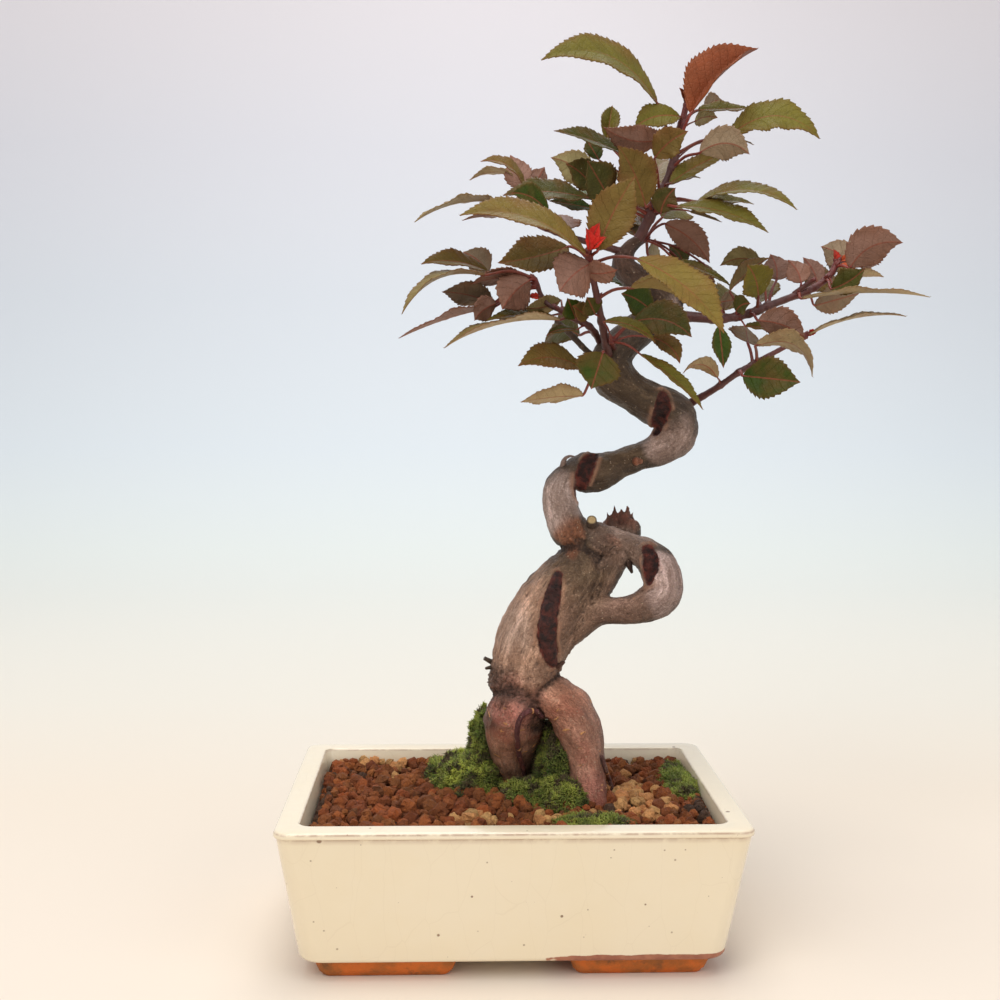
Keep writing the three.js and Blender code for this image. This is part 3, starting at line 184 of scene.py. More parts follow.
# Leafy shoots: stations of their stems, whose points lie 0.6 apart on the curves.
STEM_STEP, STEM_SIDES = 0.6, 12
STEMS = {
    "shoot_top": [
        [(44.5, 253, 6, 2), (48, 260, 5, 1.8), (50.5, 266, 4, 1.6), (53.5, 272, 4, 1.5),
         (56.5, 279.5, 4, 1.4), (58, 288.5, 4, 1.3), (59.5, 294.5, 3, 1.2), (61, 301, 2, 1)],
    ],
    "shoot_left_high": [
        [(40, 248.5, 6, 1.5), (31, 251, 4, 1.2), (19.5, 254, 2, 1.1), (11, 257, 2, 1),
         (6.5, 259, 2, 0.9)],
    ],
    "shoot_front": [
        [(35, 210, -4, 1.6), (33.5, 216, -11, 1.5), (32.5, 221, -14, 1.4), (31, 228, -20, 1.2),
         (29.5, 235, -26, 1.2), (27.5, 243.5, -31, 1.1), (26.5, 249.5, -34, 1.1)],
    ],
    "shoot_left_low": [
        [(33, 213, 1, 1.4), (30, 219, -5, 1.2), (27, 222.5, -11, 1.1), (22, 225, -14, 1),
         (17.5, 227.5, -14, 1), (14, 229.5, -13, 0.9)],
        [(18, 227.5, -14, 0.9), (13, 229.5, -13, 0.8), (10.5, 232, -12, 0.8),
         (7.5, 239, -12, 0.8)],
    ],
    "collar_left": [[(36, 207, 0, 1.2), (32, 209.5, -15, 0.9)]],
    "collar_right": [[(37, 213, 0, 1.2), (35.5, 217, -15, 0.9)]],
    "shoot_back": [[(40.5, 248.5, 6, 1.2), (48, 254, 17, 0.9)]],
    "shoot_knob": [[(53, 229, 9, 1.2), (51.5, 232, 19, 0.9)]],
    "branch_right": [
        [(57, 226, 7, 2.2), (64, 226, 3, 2), (75, 225.5, -1, 1.5), (84, 227, -2, 1.4),
         (93, 230.5, -2, 1.4), (102, 234, -1, 1.3), (109, 237, 0, 1.2), (114.5, 241.5, 1, 1.1),
         (117, 246, 2, 1)],
        [(101.5, 234.5, -1, 1), (106, 238, -3, 0.9), (109, 240, -5, 0.8)],
    ],
    "branch_right_low": [
        [(60, 191, 4, 1.8), (64, 194.5, 4, 1.7), (70, 198, 0, 1.3), (75.5, 201.5, -6, 1.1),
         (82.5, 206.5, -10, 1.1), (88.5, 210, -9, 1), (95, 213.5, -7, 0.9),
         (100.5, 216.5, -6, 0.9), (106.5, 219.5, -6, 0.8)],
    ],
}

# Leaf: (tint, base, tip, width, rise, turn, fold, stalk start). The rib bows up by rise between
# base and tip. At turn 0 the blade is level, at turn 90 its upper face looks at the front, and
# below 0 its underside does. Fold lifts both halves off the rib's plane. The stalk starts at the
# point with that number along the shoot's stems. The last rows of a shoot are its smallest
# leaves and the unopened red leaflets at its growing tips.
LEAVES = {
    "shoot_top": [
        ("olive", (50.5, 301, 0), (9, 316, -14), 19, 9, 44, 10, 52),
        ("copper", (62.5, 297.5, -3), (86, 321, 4), 23, 2, 44, 50, 49),
        ("olive", (59, 296.5, 1), (42.5, 292.5, -8), 11, 2, 62, 10, 73),
        ("mauve", (54, 289.5, -5), (31.5, 292.5, -18), 11, -3, -52, 10, 52),
        ("brown", (50, 282, -12), (61.5, 291.5, -20), 11, 1, 78, 12, 29),
        ("dark", (41, 282, -4), (14, 291, -14), 13, 1, 33, 15, 28),
        ("olive", (32.5, 287.5, 12), (34.5, 300, 22), 9, 0, 88, 45, 18),
        ("pale", (27, 272.5, 8), (13, 281.5, 14), 12, 2, -72, 10, 18),
        ("dark", (28.5, 270.5, 0), (18.5, 279.5, -4), 13, 1, 66, 10, 20),
        ("dark", (34, 267.5, -14), (26, 280.5, -28), 14, 0, 80, 10, 21),
        ("brown", (47, 265, -8), (37, 286, -24), 16, 1, 80, 12, 19),
        ("dark", (52.5, 262.5, -3), (57.5, 271.5, -5), 10, 1, 78, 10, 18),
        ("grey", (67.5, 299.5, 13), (73.5, 302.5, 20), 7, 1, -55, 10, 71),
        ("olive", (65, 299, 6), (84, 300, 12), 9, 0, 36, 15, 74),
        ("olive", (76, 289.5, 0), (109.5, 290, -8), 16, 7.5, 52, 8, 55),
        ("grey", (66, 284, -8), (84, 284, -18), 12, 3.5, -72, 12, 47),
        ("dark", (70.5, 288.5, 10), (85.5, 287.5, 18), 6, 1, 22, 10, 51),
        ("pale", (64, 295, 8), (72, 296.5, 18), 7, 1, -50, 10, 67),
        ("olive", (55.5, 273, -2), (76.5, 284.5, 6), 10, 1, 42, 12, 34),
        ("olive", (65.5, 267, -4), (102, 265, -14), 15, 5, 26, 12, 23),
        ("olive", (68.5, 266, 8), (86, 266.5, 16), 10, 1, 28, 15, 21),
        ("olive", (58, 265, -8), (91.5, 256.5, -20), 15, 2.5, 34, 12, 18),
        ("dark", (27, 267.5, -6), (-4, 268.5, -16), 15, 1.5, 38, 12, 16),
        ("green", (28, 264, 0), (12.5, 266.5, -4), 9, 0, 38, 10, 14),
        ("olive", (45, 267, 10), (34.5, 277.5, 46), 15, 3, 60, 12, 24),
        ("brown", (52, 272.5, 12), (56, 281.5, 50), 15, 3, 60, 12, 32),
        ("green", (35, 265.5, 16), (20.5, 269.5, 44), 14, 3, 55, 12, 19),
        ("red", (61.2, 301.5, 2), (63.5, 307, 0), 3.2, 0.3, 60, 30, 85),
        ("copper", (60.5, 301.5, 2), (58.5, 306.5, 0), 3.0, 0.3, 60, 30, 85),
        ("green", (30, 281, 2), (25.5, 288, 6), 7, 0, 70, 10, 20),
        ("dark", (56.5, 273, 12), (66.5, 275.5, 18), 7, 1, 25, 10, 32),
        ("dark", (63, 263.5, -4), (74.5, 260, -10), 7, 0, 8, 10, 15),
    ],
    "shoot_left_high": [
        ("brown", (3.5, 271, -4), (-12, 280, -8), 8.5, 3.5, 32, 15, 53),
        ("beige", (3, 271, 4), (-16, 273.5, 12), 8.5, 4, -4, 12, 54),
        ("mauve", (3.5, 270.5, 0), (-1.5, 282, 6), 10, 0, -85, 8, 54),
        ("mauve", (5.5, 269, 5), (10.5, 278, 11), 10, 0, -85, 8, 53),
        ("green", (12, 262, -20), (-1, 269, -30), 10, 2, 62, 10, 45),
        ("beige", (-6.5, 266, -8), (-35.5, 258.5, -20), 15, 2.5, 4, 12, 55),
        ("mauve", (9, 259.5, -6), (-18.5, 259.5, -18), 12, 1.5, -6, 12, 51),
        ("mauve", (17, 256, 6), (11, 262, 40), 14, 3, 60, 12, 41),
    ],
    "shoot_front": [
        ("yolive", (26, 247.5, -36), (-19.5, 261.5, -48), 19, 5.5, 32, 14, 76),
        ("brown", (30, 249, -36), (43, 275.5, -40), 15.5, 1, 82, 12, 75),
        ("brown", (19.5, 250.5, -24), (-5.5, 244.5, -34), 16, -1, 58, 14, 74),
        ("mauve", (27.5, 244.5, -34), (16.5, 234.5, -46), 16, 1, -80, 12, 72),
        ("mauve", (25.5, 242, -32), (37, 242.5, -42), 9, -1, -50, 10, 71),
        ("yolive", (44, 246.5, -36), (76.5, 220.5, -50), 18, 3, 50, 16, 72),
        ("green", (29.5, 226.5, -22), (26.5, 232.5, -26), 8, 0, 80, 8, 32),
        ("yolive", (42, 236, -30), (66.5, 228.5, -38), 17, 2.5, 22, 40, 49),
        ("red", (27.6, 250, -36), (30.6, 259, -38), 5.0, 0.5, 80, 30, 81),
        ("red", (27, 249, -36), (25.8, 257, -40), 4.0, 0.5, 70, 30, 81),
        ("red", (28, 249.5, -36), (33, 254, -40), 3.4, 0.3, 60, 30, 81),
    ],
    "shoot_left_low": [
        ("brown", (-9, 241, -9), (-33, 244, -22), 11, 2, 36, 18, 82),
        ("beige", (-10, 240, -21), (-40, 226, -28), 14, 5.5, 12, 16, 82),
        ("grey", (-9, 241, -4), (-18, 248, 6), 10, 1, -75, 8, 82),
        ("mauve", (4, 239, -10), (-15.5, 237, -20), 9, 1, -35, 10, 81),
        ("grey", (-7.5, 230, -10), (-25.5, 234, -20), 11, 1, -48, 8, 80),
        ("mauve", (6, 238.5, -14), (-4, 228, -24), 14, 1, -82, 15, 81),
        ("mauve", (-6, 230, -18), (-14, 224, -24), 9, 1, -60, 8, 78),
        ("mauve", (-6.5, 229, -14), (-41, 217.5, -30), 15, 1, -2, 12, 77),
        ("beige", (17, 224.5, -16), (-25, 214.5, -34), 16, 3, 4, 16, 40),
        ("olive", (14, 226, -12), (-10, 224, -20), 9, 1, 26, 12, 42),
        ("pale", (17, 231.5, -8), (4, 228.5, -16), 8, -1, -50, 10, 47),
        ("dark", (24, 219, 0), (11, 216, 28), 13, 3, 60, 12, 18),
        ("green", (22.5, 225, -17), (19.5, 232, -22), 8, 0, 80, 8, 37),
        ("red", (10, 232, -12), (5, 232.6, -13), 2.6, 0.2, 60, 30, 70),
        ("brown", (27, 225.5, -18), (21.5, 229.5, -24), 7, 0, 70, 8, 33),
        ("dark", (23, 221, -16), (12, 219, -22), 5, 1, 30, 8, 27),
    ],
    "collar_left": [
        ("brown", (25.5, 206.5, -14), (2, 208, -28), 13, 3.5, 44, 12, 25),
        ("green", (32.5, 213, -28), (28.5, 200, -34), 15.5, 0, 88, 8, 25),
        ("beige", (25.5, 197.5, -14), (3, 195, -26), 12, 0.5, -30, 12, 25),
    ],
    "collar_right": [
        ("green", (50, 227.5, -9), (39, 234, -20), 12, 1, 80, 8, 24),
        ("dark", (43.5, 224, -19), (64.5, 219, -28), 15, 3, 62, 12, 24),
        ("brown", (49.5, 218.5, -16), (60.5, 209.5, -24), 8, 2, 62, 12, 24),
        ("olive", (32.5, 224, -26), (51.5, 217, -32), 7, 2, 38, 15, 26),
        ("olive", (46, 212.5, -22), (69.5, 193, -30), 9, 1, 34, 20, 24),
    ],
    "shoot_back": [
        ("mauve", (54, 259, 6), (70.5, 245.5, 12), 11, 2, -62, 12, 23),
        ("dark", (61, 245, 16), (55.5, 251.5, 20), 9, 1, 60, 10, 24),
        ("olive", (58.5, 245.5, 10), (79, 237, 16), 10, 1, 28, 12, 23),
        ("olive", (53, 261, 18), (63, 262, 52), 15, 3, 60, 12, 26),
        ("brown", (43.5, 254.5, 20), (31.5, 259.5, 58), 15, 3, 60, 12, 25),
        ("olive", (48, 248, 20), (52.5, 238.5, 58), 15, 3, -110, 12, 25),
        ("brown", (46.5, 258, 22), (45, 269, 60), 14, 3, 60, 12, 26),
        ("mauve", (71.5, 242, 16), (68, 235.5, 20), 9, 1, -72, 10, 24),
    ],
    "shoot_knob": [
        ("green", (45.5, 235.5, 20), (28, 241, 50), 15, 3, 55, 12, 16),
        ("mauve", (55.5, 234, 22), (66.5, 237.5, 54), 15, 3, 55, 12, 18),
        ("dark", (50, 226, 20), (56, 217, 54), 14, 3, -110, 12, 16),
    ],
    "branch_right": [
        ("pale", (89.5, 245, 14), (74.5, 244.5, 22), 9, 2.5, -52, 10, 59),
        ("mauve", (95, 239.5, 10), (92.5, 248.5, 16), 12, 1, -85, 8, 60),
        ("dark", (78, 235.5, 4), (92, 247.5, 10), 8, 1, -45, 30, 42),
        ("olive", (88.5, 233.5, -8), (84.5, 244.5, -18), 13, 1, 85, 8, 53),
        ("mauve", (104, 238.5, -2), (99, 246.5, 4), 9, 1, -80, 15, 81),
        ("mauve", (110, 238, 4), (104.5, 247.5, 10), 8, 1, -80, 10, 91),
        ("grey", (121, 246, 6), (111, 251.5, 12), 11, 1, -85, 8, 112),
        ("mauve", (121.5, 244, -4), (140.5, 253.5, -12), 15, 3.5, -76, 12, 110),
        ("dark", (115, 236.5, -10), (127, 244, -18), 10, -1, 62, 20, 100),
        ("beige", (116, 237, -4), (134, 241.5, 4), 8, 2, -18, 10, 102),
        ("beige", (104, 233, -10), (151.5, 234.5, -24), 18, 1.5, 2, 10, 80),
        ("grey", (109, 230.5, 4), (125, 235, 10), 10, 0, -75, 8, 86),
        ("mauve", (88.5, 225, -12), (106, 219, -20), 12, 1.5, -62, 12, 48),
        ("green", (74.5, 223, -14), (76.5, 208, -18), 7, 0, 80, 8, 26),
        ("grey", (74.5, 231.5, 2), (80.5, 232.5, 8), 7, 0, -60, 8, 32),
        ("olive", (75.5, 228.5, 8), (82, 233, 40), 13, 3, 60, 12, 33),
        ("brown", (106, 236, 8), (119, 238.5, 44), 14, 3, 60, 12, 84),
        ("olive", (89, 231.5, 8), (93.5, 239.5, 44), 14, 3, 60, 12, 55),
        ("brown", (115, 242.5, 10), (122.5, 246.5, 44), 13, 3, 60, 12, 106),
        ("orange", (118, 246.5, 2), (127, 248.5, 0), 4.2, 0.5, 60, 35, 113),
        ("orange", (117.5, 245, 1), (124, 243.2, -4), 3.6, 0.4, 50, 30, 112),
        ("red", (116.5, 246, 2), (115.6, 250.6, 3), 3.0, 0.3, 70, 30, 113),
        ("mauve", (125.5, 244.5, 2), (135, 249, 8), 6, 0, -50, 10, 110),
        ("dark", (80.5, 228, -6), (85.5, 231, -10), 8, 1, 60, 8, 40),
        ("olive", (84, 223, -6), (96, 222, -2), 6, 0, 30, 10, 40),
    ],
    "branch_right_low": [
        ("beige", (107, 220, -6), (143, 227.5, -18), 15, 2.5, 2, 10, 95),
        ("beige", (88, 216, -16), (109.5, 205, -26), 13, 6.5, -16, 12, 62),
        ("grey", (85, 217, -2), (84, 223, 14), 13, 0, -88, 8, 59),
        ("beige", (74.5, 204, -12), (61.5, 206, -18), 7, 4, -38, 10, 35),
        ("green", (83.5, 205, -20), (104.5, 203, -32), 15, 0, 78, 10, 49),
        ("red", (106.8, 219.6, -6), (110.5, 221.5, -6), 2.4, 0.2, 60, 30, 97),
    ],
}


# ---------------------------------------------------------------- settings

def colour(name, about, value):
    """Colour property in scene-linear values."""
    return FloatVectorProperty(name=name, description=about, default=value, size=3,
                               subtype="COLOR", min=0, max=1)


def length(name, about, value):
    """Length property in metres; the default is given in millimetres."""
    return FloatProperty(name=name, description=about, default=value * MM, min=0,
                         subtype="DISTANCE", unit="LENGTH", precision=5)


class PotSettings(bpy.types.PropertyGroup):
    """Glazed pot."""
    glaze: colour("Glaze", "Cream of the glaze", (0.84, 0.725, 0.525))
    speck: colour("Specks", "Iron specks in the glaze", (0.20, 0.10, 0.05))
    clay: colour("Clay", "Bare clay of the feet", (0.62, 0.145, 0.014))
    bevel: length("Edge radius", "Rounding of the rim's edges", 1.2)


class SoilSettings(bpy.types.PropertyGroup):
    """Akadama grains."""
    grain: colour("Grain", "Red-brown akadama", (0.31, 0.084, 0.016))
    tan: colour("Tan grain", "Sandy grains among the red ones", (0.68, 0.33, 0.115))
    spacing: length("Spacing", "Distance between grains", 4.0)
    smallest: length("Smallest grain", "Radius of the smallest grains", 1.5)
    largest: length("Largest grain", "Radius of the largest grains", 3.4)


class MossSettings(bpy.types.PropertyGroup):
    """Moss cushions."""
    bright: colour("Bright moss", "Fresh moss tips", (0.36, 0.38, 0.05))
    deep: colour("Deep moss", "Moss in the hollows", (0.040, 0.055, 0.010))
    blades: IntProperty(name="Blades", description="Moss blades on a cushion of 100 square "
                        "centimetres", default=42000, min=100)
    reach: length("Blade length", "Length of a moss blade", 2.1)


class BarkSettings(bpy.types.PropertyGroup):
    """Wood of roots and trunk."""
    bark: colour("Bark", "Grey-brown bark", (0.110, 0.072, 0.047))
    scar: colour("Scar", "Old wounds", (0.035, 0.010, 0.008))
    voxel: length("Voxel", "Size of the faces of the bark", 0.62)


class LeafSettings(bpy.types.PropertyGroup):
    """Leaves and green shoots."""
    tooth: length("Tooth", "Distance between the teeth of a leaf", 1.75)
    depth: length("Tooth depth", "Depth of the teeth of a leaf", 0.8)
    blade: length("Blade", "Thickness of a leaf", 0.3)
    stalk: colour("Stalk", "Red stalks and ribs", (0.24, 0.030, 0.022))
    twig: colour("Twig", "Red-brown young wood", (0.105, 0.030, 0.024))


class StageSettings(bpy.types.PropertyGroup):
    """Floor, backdrop and light."""
    floor: colour("Floor", "Warm pale floor", (0.79, 0.695, 0.592))
    key: FloatProperty(name="Key light", description="Power of the large key light",
                       default=10.5, min=0, unit="POWER")
    world: FloatProperty(name="Sky", description="Strength of the even light from all sides",
                         default=0.52, min=0)


class BonsaiSettings(bpy.types.PropertyGroup):
    """All settings of the bonsai."""
    pot: PointerProperty(type=PotSettings)
    soil: PointerProperty(type=SoilSettings)
    moss: PointerProperty(type=MossSettings)
    bark: PointerProperty(type=BarkSettings)
    leaf: PointerProperty(type=LeafSettings)
    stage: PointerProperty(type=StageSettings)


# ---------------------------------------------------------------- numbers

def rows(values):
    """Array of points from a list or one point."""
    return np.array(values, float).reshape(-1, 3)


def unit(v):
    """Vectors divided by their lengths."""
    v = np.asarray(v, float)
    return v / np.maximum(np.linalg.norm(v, axis=-1, keepdims=True), 1e-12)


def smooth(low, high, x):
    """Smooth step from 0 at low to 1 at high: 3u^2 - 2u^3."""
    u = np.clip((np.asarray(x, float) - low) / (high - low), 0, 1)
    return u * u * (3 - 2 * u)


def mix(a, b, share):
    """Value a moved towards b by share."""
    return a + (b - a) * share


def seen(places):
    """Table places to pot-frame points: the sight line through (across, up) at the given depth."""
    places = rows(places)
    plane = places * (1, 0, 0) + places[:, 1:2] * (0, 0, 1)
    return EYE + (plane - EYE) * (1 + places[:, 2:3] / -EYE[1])


def noise(points, seed):
    """Gradient noise, about -1 to 1: the gradients at the corners of the unit lattice, mixed by
    6 u^5 - 15 u^4 + 10 u^3."""
    cell = np.floor(points).astype(np.int64)
    part = points - cell
    fade = part ** 3 * (part * (part * 6 - 15) + 10)
    total = np.zeros(len(points))
    for corner in np.ndindex(2, 2, 2):
        at = cell + corner
        code = at[:, 0] * 73856093 ^ at[:, 1] * 19349663 ^ at[:, 2] * 83492791 ^ (seed + 7) * 29
        code = (code ^ (code >> 13)) * 1274126177 & 0xFFFFFFFF
        code = (code ^ (code >> 15)) * 2246822519 & 0xFFFFFFFF
        slope = np.stack([(code >> s & 1023) / 511.5 - 1 for s in (2, 12, 22)], 1)
        share = np.prod(np.where(corner, fade, 1 - fade), axis=1)
        total += share * ((part - corner) * slope).sum(1)
    return total * 1.6


def fractal(points, octaves, seed=0):
    """Noise at doubling scales, each half as strong."""
    return sum(noise(points * 2 ** i, seed + i) / 2 ** i for i in range(octaves))


def spline(points, t):
    """Centripetal Catmull-Rom curve through the points: each span is a cubic whose end slopes
    come from the neighbouring spans, weighed by the square roots of their lengths."""
    points = rows(points)
    full = np.vstack([2 * points[0] - points[1], points, 2 * points[-1] - points[-2]])
    spans = len(points) - 1
    at = np.clip(np.asarray(t, float) * spans, 0, spans)
    i = np.minimum(at.astype(int), spans - 1)
    u = (at - i)[:, None]
    p0, p1, p2, p3 = (full[i + k] for k in range(4))
    d0, d1, d2 = (np.sqrt(np.linalg.norm(b - a, axis=1, keepdims=True))
                  for a, b in ((p0, p1), (p1, p2), (p2, p3)))
    s1 = ((p1 - p0) / d0 - (p2 - p0) / (d0 + d1) + (p2 - p1) / d1) * d1
    s2 = ((p2 - p1) / d1 - (p3 - p1) / (d1 + d2) + (p3 - p2) / d2) * d1
    return (p1 + s1 * u + (3 * (p2 - p1) - 2 * s1 - s2) * u ** 2
            + (2 * (p1 - p2) + s1 + s2) * u ** 3)


def path_of(stations, step):
    """Evenly spaced points, radii and arc lengths along the curve through the stations."""
    stations = np.array(stations, float)
    places = seen(stations[:, :3])
    t = np.linspace(0, 1, 40 * len(stations))
    line = spline(places, t)
    arc = np.r_[0, np.cumsum(np.linalg.norm(np.diff(line, axis=0), axis=1))]
    even = np.interp(np.linspace(0, arc[-1], max(3, round(arc[-1] / step) + 1)), arc, t)
    radius = np.interp(even * (len(stations) - 1), np.arange(len(stations)), stations[:, 3])
    return spline(places, even), radius, np.interp(even, t, arc)


def frames(line):
    """Directions along a curve and two directions across it that turn as little as they can."""
    ahead = unit(np.gradient(line, axis=0))
    side = np.zeros_like(ahead)
    last = np.array([0.31, -0.9, 0.2])
    for i, way in enumerate(ahead):
        last = unit(last - last.dot(way) * way)
        side[i] = last
    return ahead, side, np.cross(ahead, side)


# ---------------------------------------------------------------- meshes

def grid_faces(across, along, closed=True, poles=False):
    """Quads of a grid of points, row by row; with poles, two points after the grid close it."""
    i, j = np.meshgrid(np.arange(along - 1), np.arange(across if closed else across - 1),
                       indexing="ij")
    k = (j + 1) % across
    quads = np.stack([i * across + j, i * across + k, (i + 1) * across + k,
                      (i + 1) * across + j], -1).reshape(-1, 4)
    if poles:
        j = np.arange(across)
        k = (j + 1) % across
        first, last = across * along, across * along + 1
        top = across * (along - 1)
        quads = np.vstack([quads, np.stack([k, j, first + 0 * j, -1 + 0 * j], 1),
                           np.stack([j + top, k + top, last + 0 * j, -1 + 0 * j], 1)])
    return quads


class Pile:
    """Points, faces and point values of one mesh, gathered surface by surface."""

    def __init__(self):
        self.points, self.faces, self.values, self.kinds = [], [], {}, []
        self.count = 0

    def add(self, points, faces, kind=0, **values):
        """Adds a surface; a face's fourth corner is -1 where it is a triangle."""
        points = rows(points)
        self.faces.append(np.where(faces < 0, -1, faces + self.count))
        self.points.append(points)
        self.kinds.append(np.full(len(faces), kind))
        for name, value in values.items():
            value = np.asarray(value, float)
            if value.ndim == 0 or (value.ndim == 1 and len(value) != len(points)):
                value = np.broadcast_to(value, (len(points),) + value.shape)
            self.values.setdefault(name, []).append(value)
        self.count += len(points)

    def object(self, name, materials, shade_smooth=True):
        """Object in the scene of all that was added, in metres; it sits at the origin."""
        points = np.concatenate(self.points) * MM + POT_CENTRE
        faces = np.concatenate(self.faces)
        corners = faces[faces >= 0]
        starts = np.r_[0, np.cumsum((faces >= 0).sum(1))[:-1]]
        mesh = bpy.data.meshes.new(name)
        mesh.vertices.add(len(points))
        mesh.vertices.foreach_set("co", points.astype(np.float32).ravel())
        mesh.loops.add(len(corners))
        mesh.loops.foreach_set("vertex_index", corners.astype(np.int32))
        mesh.polygons.add(len(faces))
        mesh.polygons.foreach_set("loop_start", starts.astype(np.int32))
        mesh.polygons.foreach_set("material_index", np.concatenate(self.kinds).astype(np.int32))
        mesh.update(calc_edges=True)
        for label, parts in self.values.items():
            write_values(mesh, label, np.concatenate(parts))
        for material in materials:
            mesh.materials.append(material)
        mesh.polygons.foreach_set("use_smooth", np.full(len(mesh.polygons), shade_smooth))
        piece = bpy.data.objects.new(name, mesh)
        bpy.context.scene.collection.objects.link(piece)
        return piece


def write_values(mesh, label, values):
    """Point values as an attribute: one number, or three as a colour or, for paths, a vector."""
    if values.ndim == 1:
        kind, key = "FLOAT", "value"
    elif label == "path":
        kind, key = "FLOAT_VECTOR", "vector"
    else:
        kind, key = "FLOAT_COLOR", "color"
        values = np.column_stack([values, np.ones(len(values))])
    made = mesh.attributes.new(label, kind, "POINT")
    made.data.foreach_set(key, values.astype(np.float32).ravel())


def settle(piece, slot, *nodes):
    """The piece rides on the object's one body and stands for its nodes, which are hidden; the
    slot is not used.
    """
    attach(piece, "root")
    if nodes:
        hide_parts(*nodes)
    return piece


def bake_modifiers(piece):
    """The piece's mesh with its modifiers applied."""
    bpy.context.view_layer.update()
    shown = piece.evaluated_get(bpy.context.evaluated_depsgraph_get())
    mesh = bpy.data.meshes.new_from_object(shown)
    piece.modifiers.clear()
    old, piece.data = piece.data, mesh
    bpy.data.meshes.remove(old)
    return mesh


def tube(line, radius, sides, round_ends=(True, True), flute=0.0):
    """Closed tube: a circle of the path's radius carried along it, with a wave of three flutes
    that winds on along its length; each end closes over a smaller ring and a pole."""
    ahead, side, other = frames(line)
    arc = np.r_[0, np.cumsum(np.linalg.norm(np.diff(line, axis=0), axis=1))]
    angle = TAU * np.arange(sides) / sides
    wave = 1 + flute * np.sin(3 * angle[None] + FLUTE_WIND * arc[:, None])
    reach = np.asarray(radius)[:, None] * wave
    ring = (line[:, None] + side[:, None] * (reach * np.cos(angle))[..., None]
            + other[:, None] * (reach * np.sin(angle))[..., None])
    caps = []
    for end, (is_round, way) in enumerate(zip(round_ends, (-1, 1))):
        k = -end
        push = ahead[k] * way * radius[k] * (0.5 if is_round else 0.06)
        caps.append((line[k] + push, line[k] + push * 0.75 + (ring[k] - line[k]) * 0.62))
    rings = np.concatenate([caps[0][1][None], ring, caps[1][1][None]])
    points = np.vstack([rings.reshape(-1, 3), caps[0][0], caps[1][0]])
    return points, grid_faces(sides, len(rings), poles=True)


# ---------------------------------------------------------------- materials

def socket_in(tree, socket, value):
    """Feeds a socket: a link from another socket, or its own value."""
    if isinstance(value, bpy.types.NodeSocket):
        tree.links.new(value, socket)
    elif value is not None:
        if hasattr(socket.default_value, "__len__") and not np.isscalar(value):
            value = tuple(value) + (1.0,) * (len(socket.default_value) - len(value))
        socket.default_value = value


def add_node(tree, kind, feeds=(), **options):
    """Node with its options set and its inputs fed, by name or number."""
    made = tree.nodes.new(kind)
    for key, value in options.items():
        setattr(made, key, value)
    for key, value in dict(feeds).items():
        socket_in(tree, made.inputs[key], value)
    return made


def math(tree, operation, a, b=None, c=None):
    """Result of one Math node."""
    return add_node(tree, "ShaderNodeMath", {0: a, 1: b, 2: c}, operation=operation).outputs[0]


def times(tree, a, b):
    """Product of two values."""
    return math(tree, "MULTIPLY", a, b)


def scaled(tree, value, factor, start):
    """Value times a factor, added to a start."""
    return math(tree, "MULTIPLY_ADD", value, factor, start)


def inverse(tree, value):
    """1 less the value."""
    return math(tree, "SUBTRACT", 1.0, value)


def weighted(tree, *terms):
    """Sum of values times their weights."""
    total = 0.0
    for value, weight in terms:
        total = scaled(tree, value, weight, total)
    return total


def blend(tree, share, a, b, mode="MIX"):
    """Result of one colour Mix node."""
    made = add_node(tree, "ShaderNodeMix", {0: share, 6: a, 7: b}, data_type="RGBA",
                    blend_type=mode)
    return made.outputs[2]


def shade(tree, tone, factors):
    """The tone times a factor for each of its channels."""
    return blend(tree, 1.0, tone, factors, "MULTIPLY")


def painted(tree, tone, coats):
    """The tone under coats (mask, strength, colour), laid on in order."""
    for mask, strength, over in coats:
        tone = blend(tree, times(tree, mask, strength), tone, over)
    return tone


def ramp(tree, value, low, high):
    """Value mapped smoothly from low..high to 0..1."""
    made = add_node(tree, "ShaderNodeMapRange", {0: value, 1: low, 2: high},
                    interpolation_type="SMOOTHSTEP")
    return made.outputs[0]


def texture_noise(tree, vector, scale, detail, rough=0.55):
    """Noise value of the place; the scale is per metre."""
    made = add_node(tree, "ShaderNodeTexNoise",
                    {"Vector": vector, "Scale": scale, "Detail": detail, "Roughness": rough})
    return made.outputs[0]


def cell_edges(tree, vector, scale):
    """Distance from the edges of a cell pattern, in cells."""
    return add_node(tree, "ShaderNodeTexVoronoi", {"Vector": vector, "Scale": scale},
                    feature="DISTANCE_TO_EDGE").outputs["Distance"]


def attribute(tree, name, output="Fac"):
    """A point attribute of the mesh."""
    return add_node(tree, "ShaderNodeAttribute", attribute_name=name).outputs[output]


def place(tree):
    """The point's own place in the object, in metres."""
    return add_node(tree, "ShaderNodeTexCoord").outputs["Object"]


def part_of(tree, vector, axis):
    """One coordinate of a vector."""
    return add_node(tree, "ShaderNodeSeparateXYZ", {0: vector}).outputs[axis]


def stretched(tree, vector, factors):
    """A vector times a factor for each axis."""
    return add_node(tree, "ShaderNodeMapping", {"Vector": vector, "Scale": factors}).outputs[0]


def bump(tree, height, distance, strength):
    """Normal of a height; the distance is in metres."""
    return add_node(tree, "ShaderNodeBump", {"Height": height, "Distance": distance,
                                             "Strength": strength}).outputs[0]


def shader_group(name, inputs, output, build):
    """Node group with inputs and one output, each (label, kind), built once."""
    if name in bpy.data.node_groups:
        return bpy.data.node_groups[name]
    group = bpy.data.node_groups.new(name, "ShaderNodeTree")
    for direction, sockets in (("INPUT", inputs), ("OUTPUT", [output])):
        for label, kind in sockets:
            group.interface.new_socket(label, in_out=direction, socket_type="NodeSocket" + kind)
    source, sink = group.nodes.new("NodeGroupInput"), group.nodes.new("NodeGroupOutput")
    group.links.new(build(group, source.outputs), sink.inputs[0])
    return group


